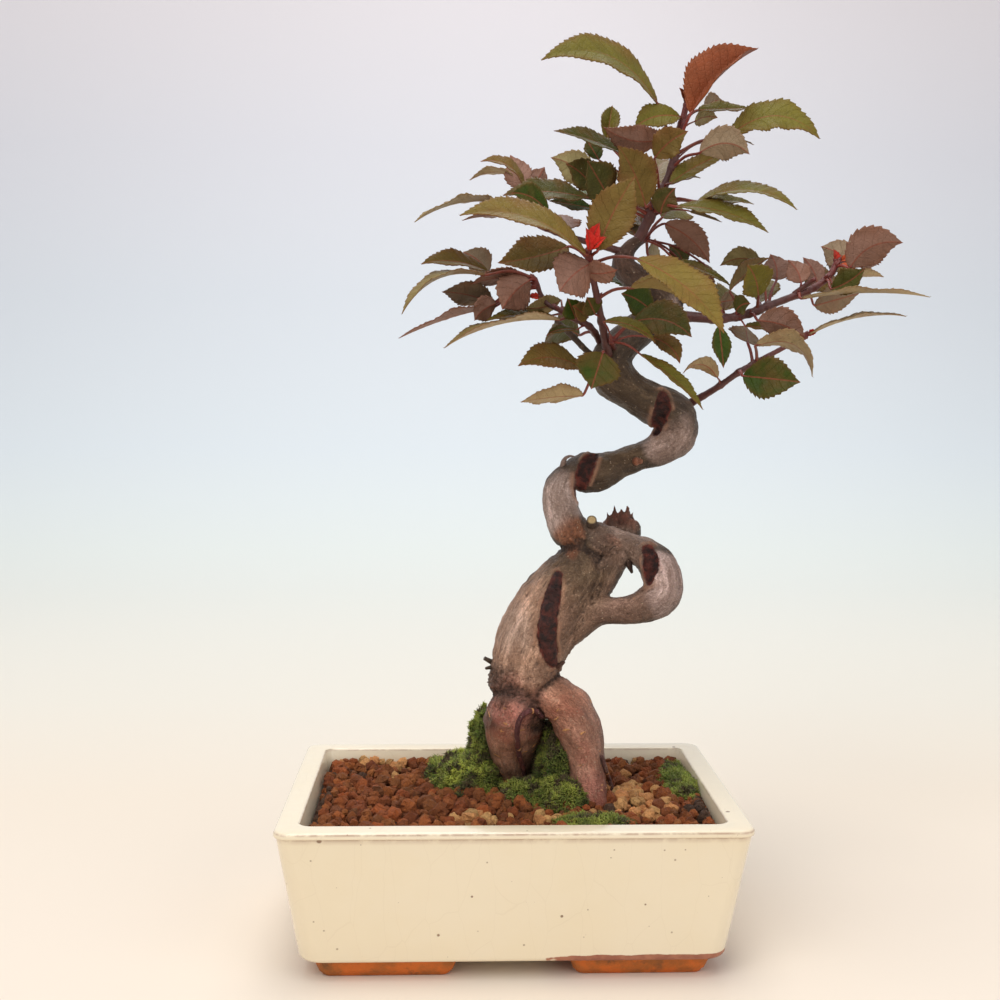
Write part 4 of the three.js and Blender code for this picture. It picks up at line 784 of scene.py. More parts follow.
def use_group(tree, group, *values):
    """Output of a group node whose inputs are fed in order."""
    made = tree.nodes.new("ShaderNodeGroup")
    made.node_tree = group
    for socket, value in zip(made.inputs, values):
        socket_in(tree, socket, value)
    return made.outputs[0]


def mottle(tree, vector, scale, amount, first, second):
    """Cloudy change between two colours: noise at the given scale, the second one by amount."""
    def build(tree, given):
        cloud = texture_noise(tree, given["Vector"], given["Scale"], 4.0, 0.6)
        share = times(tree, ramp(tree, cloud, 0.35, 0.65), given["Amount"])
        return blend(tree, share, given["Colour A"], given["Colour B"])
    inputs = [("Vector", "Vector"), ("Scale", "Float"), ("Amount", "Float"),
              ("Colour A", "Color"), ("Colour B", "Color")]
    group = shader_group("mottle", inputs, ("Colour", "Color"), build)
    return use_group(tree, group, vector, scale, amount, first, second)


def specks(tree, vector, scale, radius, share):
    """Mask of round specks: places closer than the radius to the seeds of a cell pattern, where
    the cell's own random value is under the share."""
    def build(tree, given):
        cells = add_node(tree, "ShaderNodeTexVoronoi",
                         {"Vector": given["Vector"], "Scale": given["Scale"]}).outputs
        chance, size = (part_of(tree, cells["Color"], axis) for axis in (0, 1))
        reach = times(tree, scaled(tree, size, 0.7, 0.3), given["Radius"])
        spot = ramp(tree, math(tree, "DIVIDE", cells["Distance"], reach), 0.6, 1.0)
        picked = math(tree, "LESS_THAN", chance, given["Share"])
        return times(tree, inverse(tree, spot), picked)
    inputs = [("Vector", "Vector"), ("Scale", "Float"), ("Radius", "Float"), ("Share", "Float")]
    group = shader_group("specks", inputs, ("Mask", "Float"), build)
    return use_group(tree, group, vector, scale, radius, share)


def new_material(name):
    """Material with a Principled shader; gives its tree and a function that feeds the shader."""
    material = bpy.data.materials.new(name)
    material.use_nodes = True
    tree = material.node_tree
    shader = tree.nodes["Principled BSDF"]

    def feed(**feeds):
        for key, value in feeds.items():
            socket_in(tree, shader.inputs[key.replace("_", " ")], value)
        return material
    return tree, feed


def glaze_material(s):
    """Cream glaze: faint cloudiness, hair crackle, iron specks and pinholes, brown where it
    breaks over the rim's edge, and bare clay under its lower edge, more so on the right."""
    tree, feed = new_material("cream_glaze")
    at = place(tree)
    cream = mottle(tree, at, 28.0, 0.5, s.glaze, mix(np.array(s.glaze), 1, 0.12))
    large = specks(tree, at, 110.0, 0.125, 0.95)
    small = specks(tree, at, 240.0, 0.12, 0.5)
    holes = specks(tree, at, 95.0, 0.10, 0.09)
    wobble = add_node(tree, "ShaderNodeTexNoise", {"Vector": at, "Scale": 60.0}).outputs["Color"]
    bent = add_node(tree, "ShaderNodeVectorMath",
                    {0: wobble, 1: (0.004,) * 3, 2: stretched(tree, at, (1.0, 1.0, 0.28))},
                    operation="MULTIPLY_ADD").outputs[0]
    crack = inverse(tree, ramp(tree, cell_edges(tree, bent, 95.0), 0.0, 0.012))
    ragged = ramp(tree, texture_noise(tree, at, 260.0, 4.0), 0.25, 0.6)
    tone = painted(tree, cream, [
        (crack, 0.09, (0.55, 0.42, 0.27)),
        (small, 0.55, s.speck),
        (large, 0.85, s.speck),
        (times(tree, attribute(tree, "rim_line"), ragged), 0.8, (0.36, 0.19, 0.13))])
    middle = float(POT_CENTRE[0])
    side = ramp(tree, part_of(tree, at, 0), middle - 0.005, middle + 0.03)
    uneven = scaled(tree, texture_noise(tree, at, 140.0, 3.0), 0.9, -0.45)
    bare = math(tree, "ADD", times(tree, attribute(tree, "bare"), side), uneven)
    bare = ramp(tree, bare, 0.45, 0.55)
    clay = mottle(tree, at, 220.0, 1.0, (0.30, 0.10, 0.055), (0.40, 0.15, 0.08))
    pits = times(tree, math(tree, "ADD", holes, large), -0.7)
    wave = scaled(tree, texture_noise(tree, at, 130.0, 2.0), 0.5, pits)
    return feed(Base_Color=blend(tree, bare, tone, clay), Roughness=scaled(tree, bare, 0.5, 0.2),
                Normal=bump(tree, wave, 0.00035, 0.6), Coat_Weight=0.35, Coat_Roughness=0.12,
                IOR=1.5)


def clay_material(s):
    """Bare fired clay: orange with darker greenish and brown stains and a sandy surface."""
    tree, feed = new_material("bare_clay")
    at = place(tree)
    base = mottle(tree, at, 110.0, 0.9, s.clay, (0.32, 0.105, 0.016))
    stain = ramp(tree, texture_noise(tree, at, 65.0, 5.0, 0.7), 0.53, 0.68)
    tone = painted(tree, base, [(stain, 0.75, (0.10, 0.055, 0.018))])
    grit = texture_noise(tree, at, 1500.0, 2.0)
    return feed(Base_Color=tone, Roughness=0.62, Normal=bump(tree, grit, 0.0003, 0.6))


def grain_material():
    """Baked clay grains: each with its own tint, darker in its pores, and a crumbly surface."""
    tree, feed = new_material("akadama_grains")
    at = place(tree)
    tint = attribute(tree, "tint", "Color")
    pores = ramp(tree, texture_noise(tree, at, 900.0, 4.0, 0.7), 0.35, 0.6)
    dark = shade(tree, tint, (0.42, 0.36, 0.33))
    crumbs = texture_noise(tree, at, 700.0, 6.0, 0.75)
    return feed(Base_Color=blend(tree, scaled(tree, pores, -0.5, 0.5), tint, dark),
                Roughness=0.92, Normal=bump(tree, crumbs, 0.0022, 0.9))


def bed_material():
    """Dark damp crumbs between the grains."""
    tree, feed = new_material("soil_bed")
    at = place(tree)
    tone = mottle(tree, at, 350.0, 1.0, (0.035, 0.014, 0.008), (0.085, 0.03, 0.014))
    return feed(Base_Color=tone, Roughness=0.95,
                Normal=bump(tree, texture_noise(tree, at, 800.0, 4.0), 0.001, 0.9))


def moss_material(s):
    """Soft moss, tinted blade by blade."""
    tree, feed = new_material("moss_blades")
    cloud = ramp(tree, texture_noise(tree, place(tree), 170.0, 3.0), 0.35, 0.65)
    tone = blend(tree, scaled(tree, cloud, -0.45, 0.45), attribute(tree, "tint", "Color"), s.deep)
    return feed(Base_Color=tone, Roughness=0.75, Subsurface_Weight=0.15,
                Subsurface_Radius=(0.4, 1.0, 0.2), Subsurface_Scale=0.001)


def bark_material(s):
    """Bark: its own tone with lengthwise fibres and fine light dots, pale patches that are partly
    pale bark and partly painted sheen, tan lenticels on the roots, painted shade in hollows and
    creases, and dark red old wounds with a light rim, painted shade darkening them towards their
    deepest part."""
    tree, feed = new_material("bonsai_bark")
    at = place(tree)
    tint = attribute(tree, "tint", "Color")
    path = attribute(tree, "path", "Vector")
    root, hollow, callus, scar, deep, cut = (
        attribute(tree, name) for name in ("root", "hollow", "callus", "scar", "deep", "cut"))
    drawn = stretched(tree, path, (0.4, 1.0, 1.0))
    fibres = texture_noise(tree, drawn, 800.0, 5.0, 0.65)
    patches = texture_noise(tree, drawn, 170.0, 4.0, 0.62)
    tone = painted(tree, tint, [
        (ramp(tree, patches, 0.62, 0.38), 0.7, shade(tree, tint, (0.52, 0.46, 0.42))),
        # Pale patches, up to about twice as light, weaker on the roots: partly pale bark, partly
        # painted sheen.
        (ramp(tree, patches, 0.5, 0.72), scaled(tree, root, -0.25, 0.5),
         shade(tree, tint, (1.9, 1.92, 2.05))),
        (ramp(tree, fibres, 0.49, 0.41), 0.55, shade(tree, tint, (0.42, 0.36, 0.32)))])
    grain = ramp(tree, texture_noise(tree, at, 1500.0, 3.0, 0.7), 0.43, 0.58)
    streaks = ramp(tree, texture_noise(tree, drawn, 700.0, 5.0, 0.8), 0.55, 0.64)
    rosy = ramp(tree, texture_noise(tree, at, 85.0, 3.0), 0.5, 0.66)
    dots = specks(tree, at, 900.0, 0.32, 0.3)
    pits = specks(tree, at, 520.0, 0.22, 0.2)
    pores = specks(tree, stretched(tree, path, (3.2, 1.0, 1.0)), 190.0, 0.42,
                   scaled(tree, root, 0.3, 0.025))
    raw = mottle(tree, at, 420.0, 1.0, s.scar, (0.24, 0.048, 0.030))
    # Painted shade: the wound turns nearly black towards the deepest part of its trough.
    sore = painted(tree, raw, [(deep, 0.95, (0.012, 0.005, 0.004))])
    tone = painted(tree, tone, [
        (grain, 0.40, shade(tree, tone, (0.46, 0.40, 0.36))),
        (streaks, scaled(tree, root, 0.2, 0.16), (0.50, 0.36, 0.25)),
        (times(tree, rosy, root), 0.45, (0.33, 0.075, 0.040)),
        (dots, 0.7, (0.62, 0.44, 0.30)),
        (pits, 0.6, (0.045, 0.022, 0.016)),
        (pores, 0.95, (0.80, 0.38, 0.15)),
        # Painted shade in concave hollows and in creases between limbs.
        (hollow, 1.0, (0.035, 0.018, 0.012)),
        (callus, 0.7, (0.46, 0.23, 0.14)),
        (scar, 1.0, sore),
        (cut, 1.0, (0.60, 0.42, 0.20))])
    rough = scaled(tree, fibres, 0.3, scaled(tree, scar, 0.25, 0.31))
    height = weighted(tree, (patches, 0.6), (fibres, 0.9), (dots, 0.25), (pits, -0.35),
                      (grain, -0.35), (pores, 0.6))
    return feed(Base_Color=tone, Roughness=rough, Normal=bump(tree, height, 0.0014, 0.8),
                Specular_IOR_Level=0.45)


def leaf_material():
    """Leaf: its own tint above and below, a red rib that fades to the tip, faint side veins that
    run forward to the margin, a net of fine veins, bronze margins and a satin skin."""
    tree, feed = new_material("apple_leaf")
    at = place(tree)
    tint = attribute(tree, "tint", "Color")
    path = attribute(tree, "path", "Vector")
    along, out = part_of(tree, path, 0), math(tree, "ABSOLUTE", part_of(tree, path, 1))
    sway = times(tree, texture_noise(tree, at, 150.0, 2.0), 0.9)
    count = math(tree, "ADD", sway, scaled(tree, out, -0.21, times(tree, along, 0.27)))
    off_vein = math(tree, "ABSOLUTE", math(tree, "SUBTRACT", math(tree, "FRACT", count), 0.5))
    vein = inverse(tree, ramp(tree, off_vein, 0.0, 0.06))
    net = ramp(tree, cell_edges(tree, at, 620.0), 0.0, 0.16)
    cloud = ramp(tree, texture_noise(tree, at, 230.0, 4.0, 0.65), 0.38, 0.62)
    flush = ramp(tree, texture_noise(tree, at, 75.0, 3.0), 0.46, 0.66)
    rib = inverse(tree, ramp(tree, out, 0.12, 0.38))
    rib = times(tree, rib, ramp(tree, along, 42.0, 6.0))
    tone = painted(tree, tint, [(cloud, 0.28, shade(tree, tint, (0.50, 0.48, 0.42)))])
    tone = painted(tree, tone, [
        (inverse(tree, net), 0.04, shade(tree, tone, (0.45, 0.45, 0.40))),
        (flush, 0.30, (0.20, 0.065, 0.025)),
        (attribute(tree, "edge"), 0.5, (0.19, 0.062, 0.022)),
        (vein, 0.13, shade(tree, tint, (1.6, 1.55, 1.4))),
        (rib, 0.65, (0.27, 0.060, 0.035)),
        (specks(tree, at, 520.0, 0.16, 0.10), 0.35, (0.50, 0.42, 0.32))])
    height = weighted(tree, (net, 0.22), (vein, -0.6), (cloud, -0.25))
    return feed(Base_Color=tone, Roughness=0.5, Normal=bump(tree, height, 0.0005, 0.7),
                Specular_IOR_Level=0.15)


def twig_material():
    """Young wood, stalks and buds: their own tint with cloudy darker places and pale dots."""
    tree, feed = new_material("young_wood")
    at = place(tree)
    tint = attribute(tree, "tint", "Color")
    cloud = ramp(tree, texture_noise(tree, at, 420.0, 4.0, 0.6), 0.35, 0.65)
    tone = painted(tree, tint, [
        (cloud, 0.5, shade(tree, tint, (0.45, 0.45, 0.45))),
        (specks(tree, at, 750.0, 0.22, 0.12), 0.5, (0.5, 0.3, 0.2))])
    return feed(Base_Color=tone, Roughness=0.42,
                Normal=bump(tree, texture_noise(tree, at, 1500.0, 3.0), 0.0004, 0.6))


def screen_material():
    """Black plastic mesh with dust in its moulded surface."""
    tree, feed = new_material("black_plastic")
    at = place(tree)
    dust = mottle(tree, at, 400.0, 0.6, (0.02, 0.025, 0.02), (0.07, 0.06, 0.045))
    return feed(Base_Color=dust, Roughness=0.55,
                Normal=bump(tree, texture_noise(tree, at, 1200.0, 2.0), 0.0002, 0.4))


# ---------------------------------------------------------------- pot

def rim_ring(inset, height, corner):
    """Rectangle with rounded corners at a height: the rim's size less the inset on each side,
    its corners quarter circles, its sides cut into even stretches."""
    half = np.array([POT_LENGTH / 2 - inset, POT_DEPTH / 2 - inset])
    angle = np.linspace(0, np.pi / 2, 9)
    arcs = []
    for quarter, signs in enumerate(((1, 1), (-1, 1), (-1, -1), (1, -1))):
        turned = angle + quarter * np.pi / 2
        arcs.append((half - corner) * signs
                    + corner * np.stack([np.cos(turned), np.sin(turned)], 1))
    share = np.linspace(0, 1, 14)[1:-1, None]
    flat = np.concatenate([part for arc, after in zip(arcs, arcs[1:] + arcs[:1])
                           for part in (arc, mix(arc[-1], after[0], share))])
    return np.column_stack([flat, np.full(len(flat), float(height))])


def wall_inset(height):
    """Distance of the inner wall from the rim's outline."""
    return WALL + INNER_TAPER * (POT_HEIGHT - height) / (POT_HEIGHT - FLOOR_TOP)


def arc_stops(centre, radius, start, end, count):
    """Points (inset, height) of an arc, angles in degrees from the inward direction."""
    angle = np.radians(np.linspace(start, end, count))
    return [(centre[0] + radius * np.cos(a), centre[1] + radius * np.sin(a)) for a in angle]


def pot_profile(edge):
    """Profile of the pot as stops (inset, height), from under the floor over the rim to the
    inside, and the number of its first stop on the inner side."""
    under = [(30, BODY_BOTTOM), (18, BODY_BOTTOM), (OUTER_TAPER + BASE_ROUND, BODY_BOTTOM)]
    base = arc_stops((OUTER_TAPER + BASE_ROUND, BODY_BOTTOM + BASE_ROUND), BASE_ROUND,
                     270, 180, 6)[1:]
    lip_low = POT_HEIGHT - LIP_HEIGHT
    wall_low, wall_high = np.array(base[-1]), np.array((0.75, lip_low))
    wall = [tuple(mix(wall_low, wall_high, k)) for k in np.linspace(0, 1, 26)[1:]]
    lip = [(0.72, lip_low + 0.12), (0.45, lip_low + 0.3), (0.1, lip_low + 0.5),
           (0, lip_low + 0.75), (0, POT_HEIGHT - edge - 0.25)]
    outer = arc_stops((edge, POT_HEIGHT - edge), edge, 180, 90, 7)
    top = [(k, POT_HEIGHT + 0.12 * np.sin(np.pi * (k - edge) / 5.6)) for k in
           np.linspace(edge + 0.4, WALL - INNER_ROUND - 0.4, 8)]
    inner = arc_stops((WALL - INNER_ROUND, POT_HEIGHT - INNER_ROUND), INNER_ROUND, 90, 0, 6)
    inside = [(wall_inset(z) + 0.02, z) for z in np.linspace(POT_HEIGHT - INNER_ROUND - 0.6,
                                                             FLOOR_TOP + 1.5, 16)]
    floor = [(wall_inset(FLOOR_TOP) + 0.4, FLOOR_TOP + 0.4), (20, FLOOR_TOP), (34, FLOOR_TOP)]
    stops = under + base + wall + lip + outer + top + inner + inside + floor
    return stops, len(stops) - len(inside) - len(floor) - len(inner) + 2


def drill_drains(pot):
    """Cuts the two drain holes through the pot's floor."""
    cutters = []
    for x in (-DRAIN_X, DRAIN_X):
        line = rows([(x, 0, z) for z in np.linspace(BODY_BOTTOM - 3, FLOOR_TOP + 3, 5)])
        drill = Pile()
        drill.add(*tube(line, np.full(5, float(DRAIN_RADIUS)), 40, (False, False)))
        cutters.append(drill.object("drill", []))
        cut = pot.modifiers.new("Drain hole", "BOOLEAN")
        cut.operation, cut.solver, cut.object = "DIFFERENCE", "EXACT", cutters[-1]
    bake_modifiers(pot)
    for cutter in cutters:
        bpy.data.objects.remove(cutter)


def build_pot(s):
    """Pot: its profile carried round a rounded rectangle, with drain holes in the floor."""
    lip_low = POT_HEIGHT - LIP_HEIGHT
    stops, first_in = pot_profile(s.bevel / MM)
    grid, lines, bare = [], [], []
    for i, (inset, z) in enumerate(stops):
        rise = np.clip((z - BODY_BOTTOM) / (POT_HEIGHT - BODY_BOTTOM), 0, 1)
        corner = mix(CORNER_LOW, CORNER_HIGH, rise) if i < first_in else CORNER_INSIDE
        corner = min(max(corner - max(inset - 12, 0), 2.5), CORNER_LOW)
        grid.append(rim_ring(inset, z, corner))
        # Brown line where the glaze thins: under the lip, at its top edge and at the inner edge.
        on_lip = max(np.exp(-((z - lip_low - 0.2) / 0.22) ** 2) * (inset < 1),
                     np.exp(-((z - POT_HEIGHT + 0.65) / 0.3) ** 2) * (inset < 1.4),
                     0.7 * np.exp(-((z - POT_HEIGHT + 0.55) / 0.3) ** 2) * (6 < inset < 9))
        lines.append(np.full(len(grid[-1]), on_lip))
        # Bare clay: the underside and a low band that rises to the right.
        side = smooth(-15, 45, grid[-1][:, 0])
        is_out = 1.0 if i < first_in else 0.0
        bare.append(is_out * smooth(9.0 + 0.9 * side, 7.9 + 0.9 * side, np.full(len(side), z))
                    if z > BODY_BOTTOM + 0.01 else np.full(len(side), is_out))
    points = np.concatenate(grid)
    ring = len(grid[0])
    wave = 0.16 * noise(points * 0.035, 3) + 0.05 * noise(points * 0.2, 5)
    out = unit(points * (1, 1, 0)) * wave[:, None] * (np.abs(points[:, 2:3] - 31) < 20)
    points = np.vstack([points + out, (0, 0, BODY_BOTTOM), (0, 0, FLOOR_TOP)])
    pile = Pile()
    pile.add(points, grid_faces(ring, len(stops), poles=True),
             rim_line=np.r_[np.concatenate(lines), 0, 0],
             bare=np.r_[np.concatenate(bare), 1, 0])
    pot = pile.object("pot_glazed", [glaze_material(s)])
    drill_drains(pot)
    return settle(pot, "glaze", "pot")


def foot_ring(sx, sy, inset, height, corner):
    """L-shaped outline of a foot at a height, moved in by the inset, with rounded corners."""
    x, y = FOOT_FAR
    ell = np.array([(x, y), (x - FOOT_LONG, y), (x - FOOT_LONG, y - FOOT_ARM),
                    (x - FOOT_ARM, y - FOOT_ARM), (x - FOOT_ARM, y - FOOT_WIDE),
                    (x, y - FOOT_WIDE)])
    way = unit(np.roll(ell, -1, axis=0) - ell)
    inward = np.stack([-way[:, 1], way[:, 0]], 1)
    ell = ell + inset * (inward + np.roll(inward, 1, axis=0))
    before, after = ell - corner * np.roll(way, 1, axis=0), ell + corner * way
    u = np.linspace(0, 1, 7)[None, :, None]
    arc = (before[:, None] * (1 - u) ** 2 + ell[:, None] * 2 * u * (1 - u)
           + after[:, None] * u ** 2)
    flat = arc.reshape(-1, 2) * (sx, sy)
    if sx * sy < 0:
        flat = flat[::-1]
    return np.column_stack([flat, np.full(len(flat), float(height))])


def build_feet(s):
    """Four clay feet: an L-shaped outline carried down, drawn in towards its underside."""
    pile = Pile()
    high = BODY_BOTTOM + 0.6
    stops = [(FOOT_SLOPE + 1.5, 0), (FOOT_SLOPE + 0.75, 0.08), (FOOT_SLOPE + 0.3, 0.5),
             (FOOT_SLOPE, 1.3)]
    stops += [(FOOT_SLOPE * (1 - z / high), z) for z in np.linspace(2, high, 7)]
    for sx in (-1, 1):
        for sy in (-1, 1):
            grid = [foot_ring(sx, sy, inset, z, 3.0) for inset, z in stops]
            middle = (sx * (FOOT_FAR[0] - FOOT_ARM / 2), sy * (FOOT_FAR[1] - FOOT_ARM / 2))
            points = np.concatenate(grid)
            points += (0.25 * noise(points * 0.09, 11) * (points[:, 2] > 0.3))[:, None] * unit(
                points * (1, 1, 0))
            points = np.vstack([points, (*middle, 0), (*middle, high)])
            pile.add(points, grid_faces(len(grid[0]), len(stops), poles=True))
    return settle(pile.object("pot_feet", [clay_material(s)]), "glaze", "pot")


# ---------------------------------------------------------------- soil and moss

def soil_height(x, y):
    """Height of the soil: level, raised by a bell shape round the trunk."""
    rise = np.exp(-((x - MOUND_X) ** 2 + y ** 2) / MOUND_RADIUS ** 2)
    return SOIL_LEVEL + MOUND_HEIGHT * rise


def wood_samples():
    """Points and radii along all the wood."""
    paths = [path_of(stations, 1.0)[:2] for stations in WOOD.values()]
    return np.concatenate([p for p, r in paths]), np.concatenate([r for p, r in paths])


def nearest(points, samples, radii):
    """Least distance of each point from the wood, negative inside it, and the number of the wood
    sample that it is measured from."""
    least, index = np.empty(len(points)), np.empty(len(points), int)
    for start in range(0, len(points), 4000):
        part = slice(start, start + 4000)
        gap = np.linalg.norm(points[part, None] - samples[None], axis=2) - radii
        least[part], index[part] = gap.min(1), gap.argmin(1)
    return least, index


def near(x, y, zones):
    """Closeness, 1 in the middle to 0 outside, to the oval zones (x, y, half x, half y)."""
    best = np.zeros(np.shape(x))
    for cx, cy, a, b in zones:
        best = np.maximum(best, 1 - np.hypot((x - cx) / a, (y - cy) / b))
    return best


# Oval places (x, y, half x, half y) of the sandy and of the dark grains.
TAN_ZONES = [(-50, 41, 22, 9), (-14, -29, 13, 8), (11, -29, 9, 7), (46, -8, 12, 26),
             (67, 22, 4, 5), (-24, 33, 5, 5)]
DARK_ZONES = [(-69, -8, 5, 20), (69, -18, 6, 20), (38, -20, 6, 9), (48, 40, 8, 5)]


def stone_shape(rng, count):
    """Irregular stones: a ball of four rings of seven points and two poles, each point pushed
    in or out at random, each stone flattened and turned its own way."""
    polar = np.radians([32, 68, 112, 148])
    turn = TAU * (np.arange(7)[None] + 0.5 * (np.arange(4) % 2)[:, None]) / 7
    ring = np.stack([np.sin(polar)[:, None] * np.cos(turn), np.sin(polar)[:, None] * np.sin(turn),
                     -np.cos(polar)[:, None] + 0 * turn], -1).reshape(-1, 3)
    ball = np.vstack([ring, (0, 0, -1), (0, 0, 1)])
    push = 1 + rng.uniform(-0.22, 0.16, (count, len(ball), 1))
    stretch = rng.uniform(0.72, 1.12, (count, 1, 3))
    q = unit(rng.normal(size=(count, 4)))
    w, x, y, z = q.T
    turned = np.stack([
        1 - 2 * (y * y + z * z), 2 * (x * y - w * z), 2 * (x * z + w * y),
        2 * (x * y + w * z), 1 - 2 * (x * x + z * z), 2 * (y * z - w * x),
        2 * (x * z - w * y), 2 * (y * z + w * x), 1 - 2 * (x * x + y * y)], -1)
    shapes = ball[None] * push * stretch
    shapes = np.einsum("nij,nkj->nki", turned.reshape(-1, 3, 3), shapes)
    return shapes, grid_faces(7, 4, poles=True)


def repeat_faces(faces, size, count):
    """The faces of one shape for each of its copies."""
    step = np.arange(count)[:, None, None] * size
    return np.where(faces[None] < 0, -1, faces[None] + step).reshape(-1, 4)


def soil_bed():
    """Bed under the grains: rings from its underside up its side and in over its top, whose
    height is the soil's with lumps, as points and faces."""
    share = np.r_[np.linspace(0.02, 1, 3), np.full(6, 1.0), np.linspace(1, 0.02, 34)[1:]]
    height = np.r_[np.full(3, BED_LOW), np.linspace(BED_LOW, SOIL_LEVEL - 2.5, 7)[1:],
                   np.full(33, 0.0)]
    grid = [rim_ring(wall_inset(z if z else SOIL_LEVEL) + BED_GAP, z, CORNER_INSIDE) * (k, k, 1)
            for k, z in zip(share, height)]
    points = np.concatenate(grid)
    x, y, z = points.T
    lumps = 0.9 * fractal(np.column_stack([x, y, 0 * x]) * 0.3, 3)
    points[:, 2] = np.where(z == 0, soil_height(x, y) - BED_DROP + lumps, z)
    points = np.vstack([points, (0, 0, BED_LOW), (0, 0, soil_height(0, 0) - BED_DROP)])
    return points, grid_faces(len(grid[0]), len(grid), poles=True)


def grain_places(s, rng):
    """Centres and radii of the grains: two layers on a staggered grid, moved at random, where
    no wood stands."""
    step = np.array([1, 0.87]) * (s.spacing / MM)
    half = np.array([POT_LENGTH, POT_DEPTH]) / 2 - wall_inset(SOIL_LEVEL) - 0.6
    centres, sizes = [], []
    for layer, (drop, big) in enumerate(((2.4, 0.8), (0.7, 1.0))):
        columns, lines = np.ceil(2 * half / step).astype(int)
        gx, gy = np.meshgrid(np.arange(columns), np.arange(lines))
        x = -half[0] + (gx + 0.5 * (gy % 2) + 0.3 + 0.4 * layer) * step[0]
        y = -half[1] + (gy + 0.5 * layer + 0.3) * step[1]
        flat = np.stack([x, y], -1).reshape(-1, 2)
        flat = flat + rng.uniform(-0.42, 0.42, flat.shape) * step[0]
        size = mix(s.smallest, s.largest, rng.random(len(flat)) ** 1.7) / MM * big
        flat = np.clip(flat, -half + size[:, None], half - size[:, None])
        z = soil_height(*flat.T) - drop + 0.35 * size + rng.uniform(-0.5, 0.5, len(flat))
        centres.append(np.column_stack([flat, z]))
        sizes.append(size)
    centres, sizes = np.concatenate(centres), np.concatenate(sizes)
    keep = nearest(centres, *wood_samples())[0] > -0.2 * sizes
    return centres[keep], sizes[keep]


def build_soil(s):
    """Soil: a bed with loose grains on it, red-brown with places of sandy and dark ones."""
    pile = Pile()
    pile.add(*soil_bed(), kind=1, tint=(0.03, 0.012, 0.008))
    rng = np.random.default_rng(4711)
    centres, sizes = grain_places(s, rng)
    shapes, faces = stone_shape(rng, len(centres))
    points = shapes * sizes[:, None, None] + centres[:, None]
    x, y = centres[:, 0], centres[:, 1]
    chance = rng.random(len(centres))
    is_tan = chance < 1.5 * near(x, y, TAN_ZONES) + 0.015
    is_dark = (chance > 1 - 0.85 * near(x, y, DARK_ZONES)) | (chance > 0.992)
    light = rng.uniform(0.62, 1.35, (len(centres), 1))
    hue = rng.uniform(-0.12, 0.12, (len(centres), 1)) * (0.4, -1, -1.4)
    tint = np.array(s.grain)[None] * light * (1 + hue)
    tan = np.array(s.tan) * mix(light, 1, 0.45) * (1 + hue)
    tint = np.where(is_tan[:, None], tan, tint)
    tint = np.where(is_dark[:, None], np.array([0.090, 0.042, 0.020]) * light, tint)
    size = shapes.shape[1]
    pile.add(points.reshape(-1, 3), repeat_faces(faces, size, len(centres)),
             tint=np.repeat(tint, size, axis=0))
    soil = pile.object("soil_grains", [grain_material(), bed_material()], False)
    return settle(soil, "akadama", "soil")


# Moss cushions (x, y, z, half length, half depth, half height), true places in the pot's frame.
MOSS = {
    "moss_left": [(-14, 13, 50, 12, 14, 11), (-8, 15, 60, 6, 8, 17), (-22, 22, 50, 8, 9, 6)],
    "moss_between": [
        (17.5, 2, 52, 7, 12, 24), (18, -14, 50, 8.5, 8, 9), (6, -8, 50, 9, 6, 6.5),
    ],
    "moss_front": [(22, -35, 49, 7, 6, 3.6), (32, -34, 49, 8, 5, 3.2)],
    "moss_corner": [(65, 12, 48, 6.5, 20, 5)],
}


def cushion_shape(cushion, around, up):
    """Lumpy half-buried ball: unit directions times the half sizes, swelled by slow noise."""
    x, y, z, a, b, c = cushion
    way = np.stack([np.cos(around) * np.cos(up), np.sin(around) * np.cos(up), np.sin(up)], -1)
    way = way.reshape(-1, 3)
    lump = 1 + 0.26 * fractal(way * 2.6 + (x, y, z), 3, 21)
    return (x, y, z) + way * (a, b, c) * lump[:, None], unit(way / (a, b, c))


def ball_area(a, b, c):
    """Area of an ellipsoid's skin: 4 pi times the mean of the products of its half sizes, taken
    as powers; the factor 2.2 leaves out most of the half that lies in the soil."""
    power = 1.6
    total = (a * b) ** power + (a * c) ** power + (b * c) ** power
    return 2.2 * np.pi * total ** (1 / power) / 3 ** (1 / power)


# Faces of a blade of moss: its three sides up to the knee, its three up to the tip, and its foot.
BLADE_FACES = np.array([(0, 1, 4, 3), (1, 2, 5, 4), (2, 0, 3, 5), (3, 4, 6, -1), (4, 5, 6, -1),
                        (5, 3, 6, -1), (0, 2, 1, -1)])


def blade_places(s, node, cushion, rng, samples, radii):
    """Where the blades of a cushion stand, and the way out there: on the part of its skin that
    is free of the wood, the soil and the other cushions."""
    count = int(s.blades * ball_area(*cushion[3:]) / 10000 * 3.2)
    spin = rng.uniform(0, TAU, count)
    lift = np.arcsin(rng.uniform(-0.5, 1, count))
    root, out = cushion_shape(cushion, spin, lift)
    keep = nearest(root, samples, radii)[0] > -0.1
    keep &= root[:, 2] > soil_height(*root.T[:2]) - 0.8
    for other in MOSS[node]:
        if other is not cushion:
            keep &= np.linalg.norm((root - other[:3]) / other[3:], axis=1) > 0.95
    return root[keep], out[keep]


def blade_shapes(s, root, out, rng):
    """Blades of moss: a foot and a knee of three corners each, and a tip that bends aside."""
    count = len(root)
    lean = unit(out + rng.normal(size=(count, 3)) * 0.42 + (0, 0, 0.25))
    reach = s.reach / MM * rng.uniform(0.6, 1.35, (count, 1))
    side = unit(np.cross(lean, rng.normal(size=(count, 3))))
    other = np.cross(lean, side)
    wide = 0.17 * rng.uniform(0.8, 1.3, (count, 1))
    corners = [side * np.cos(turn) + other * np.sin(turn) for turn in (0, 2.094, 4.189)]
    foot, knee = root - lean * 0.5, root + lean * reach * 0.55
    tip = root + unit(lean + 0.5 * side) * reach
    return np.stack([foot + wide * corner for corner in corners]
                    + [knee + 1.15 * wide * corner for corner in corners] + [tip], 1)


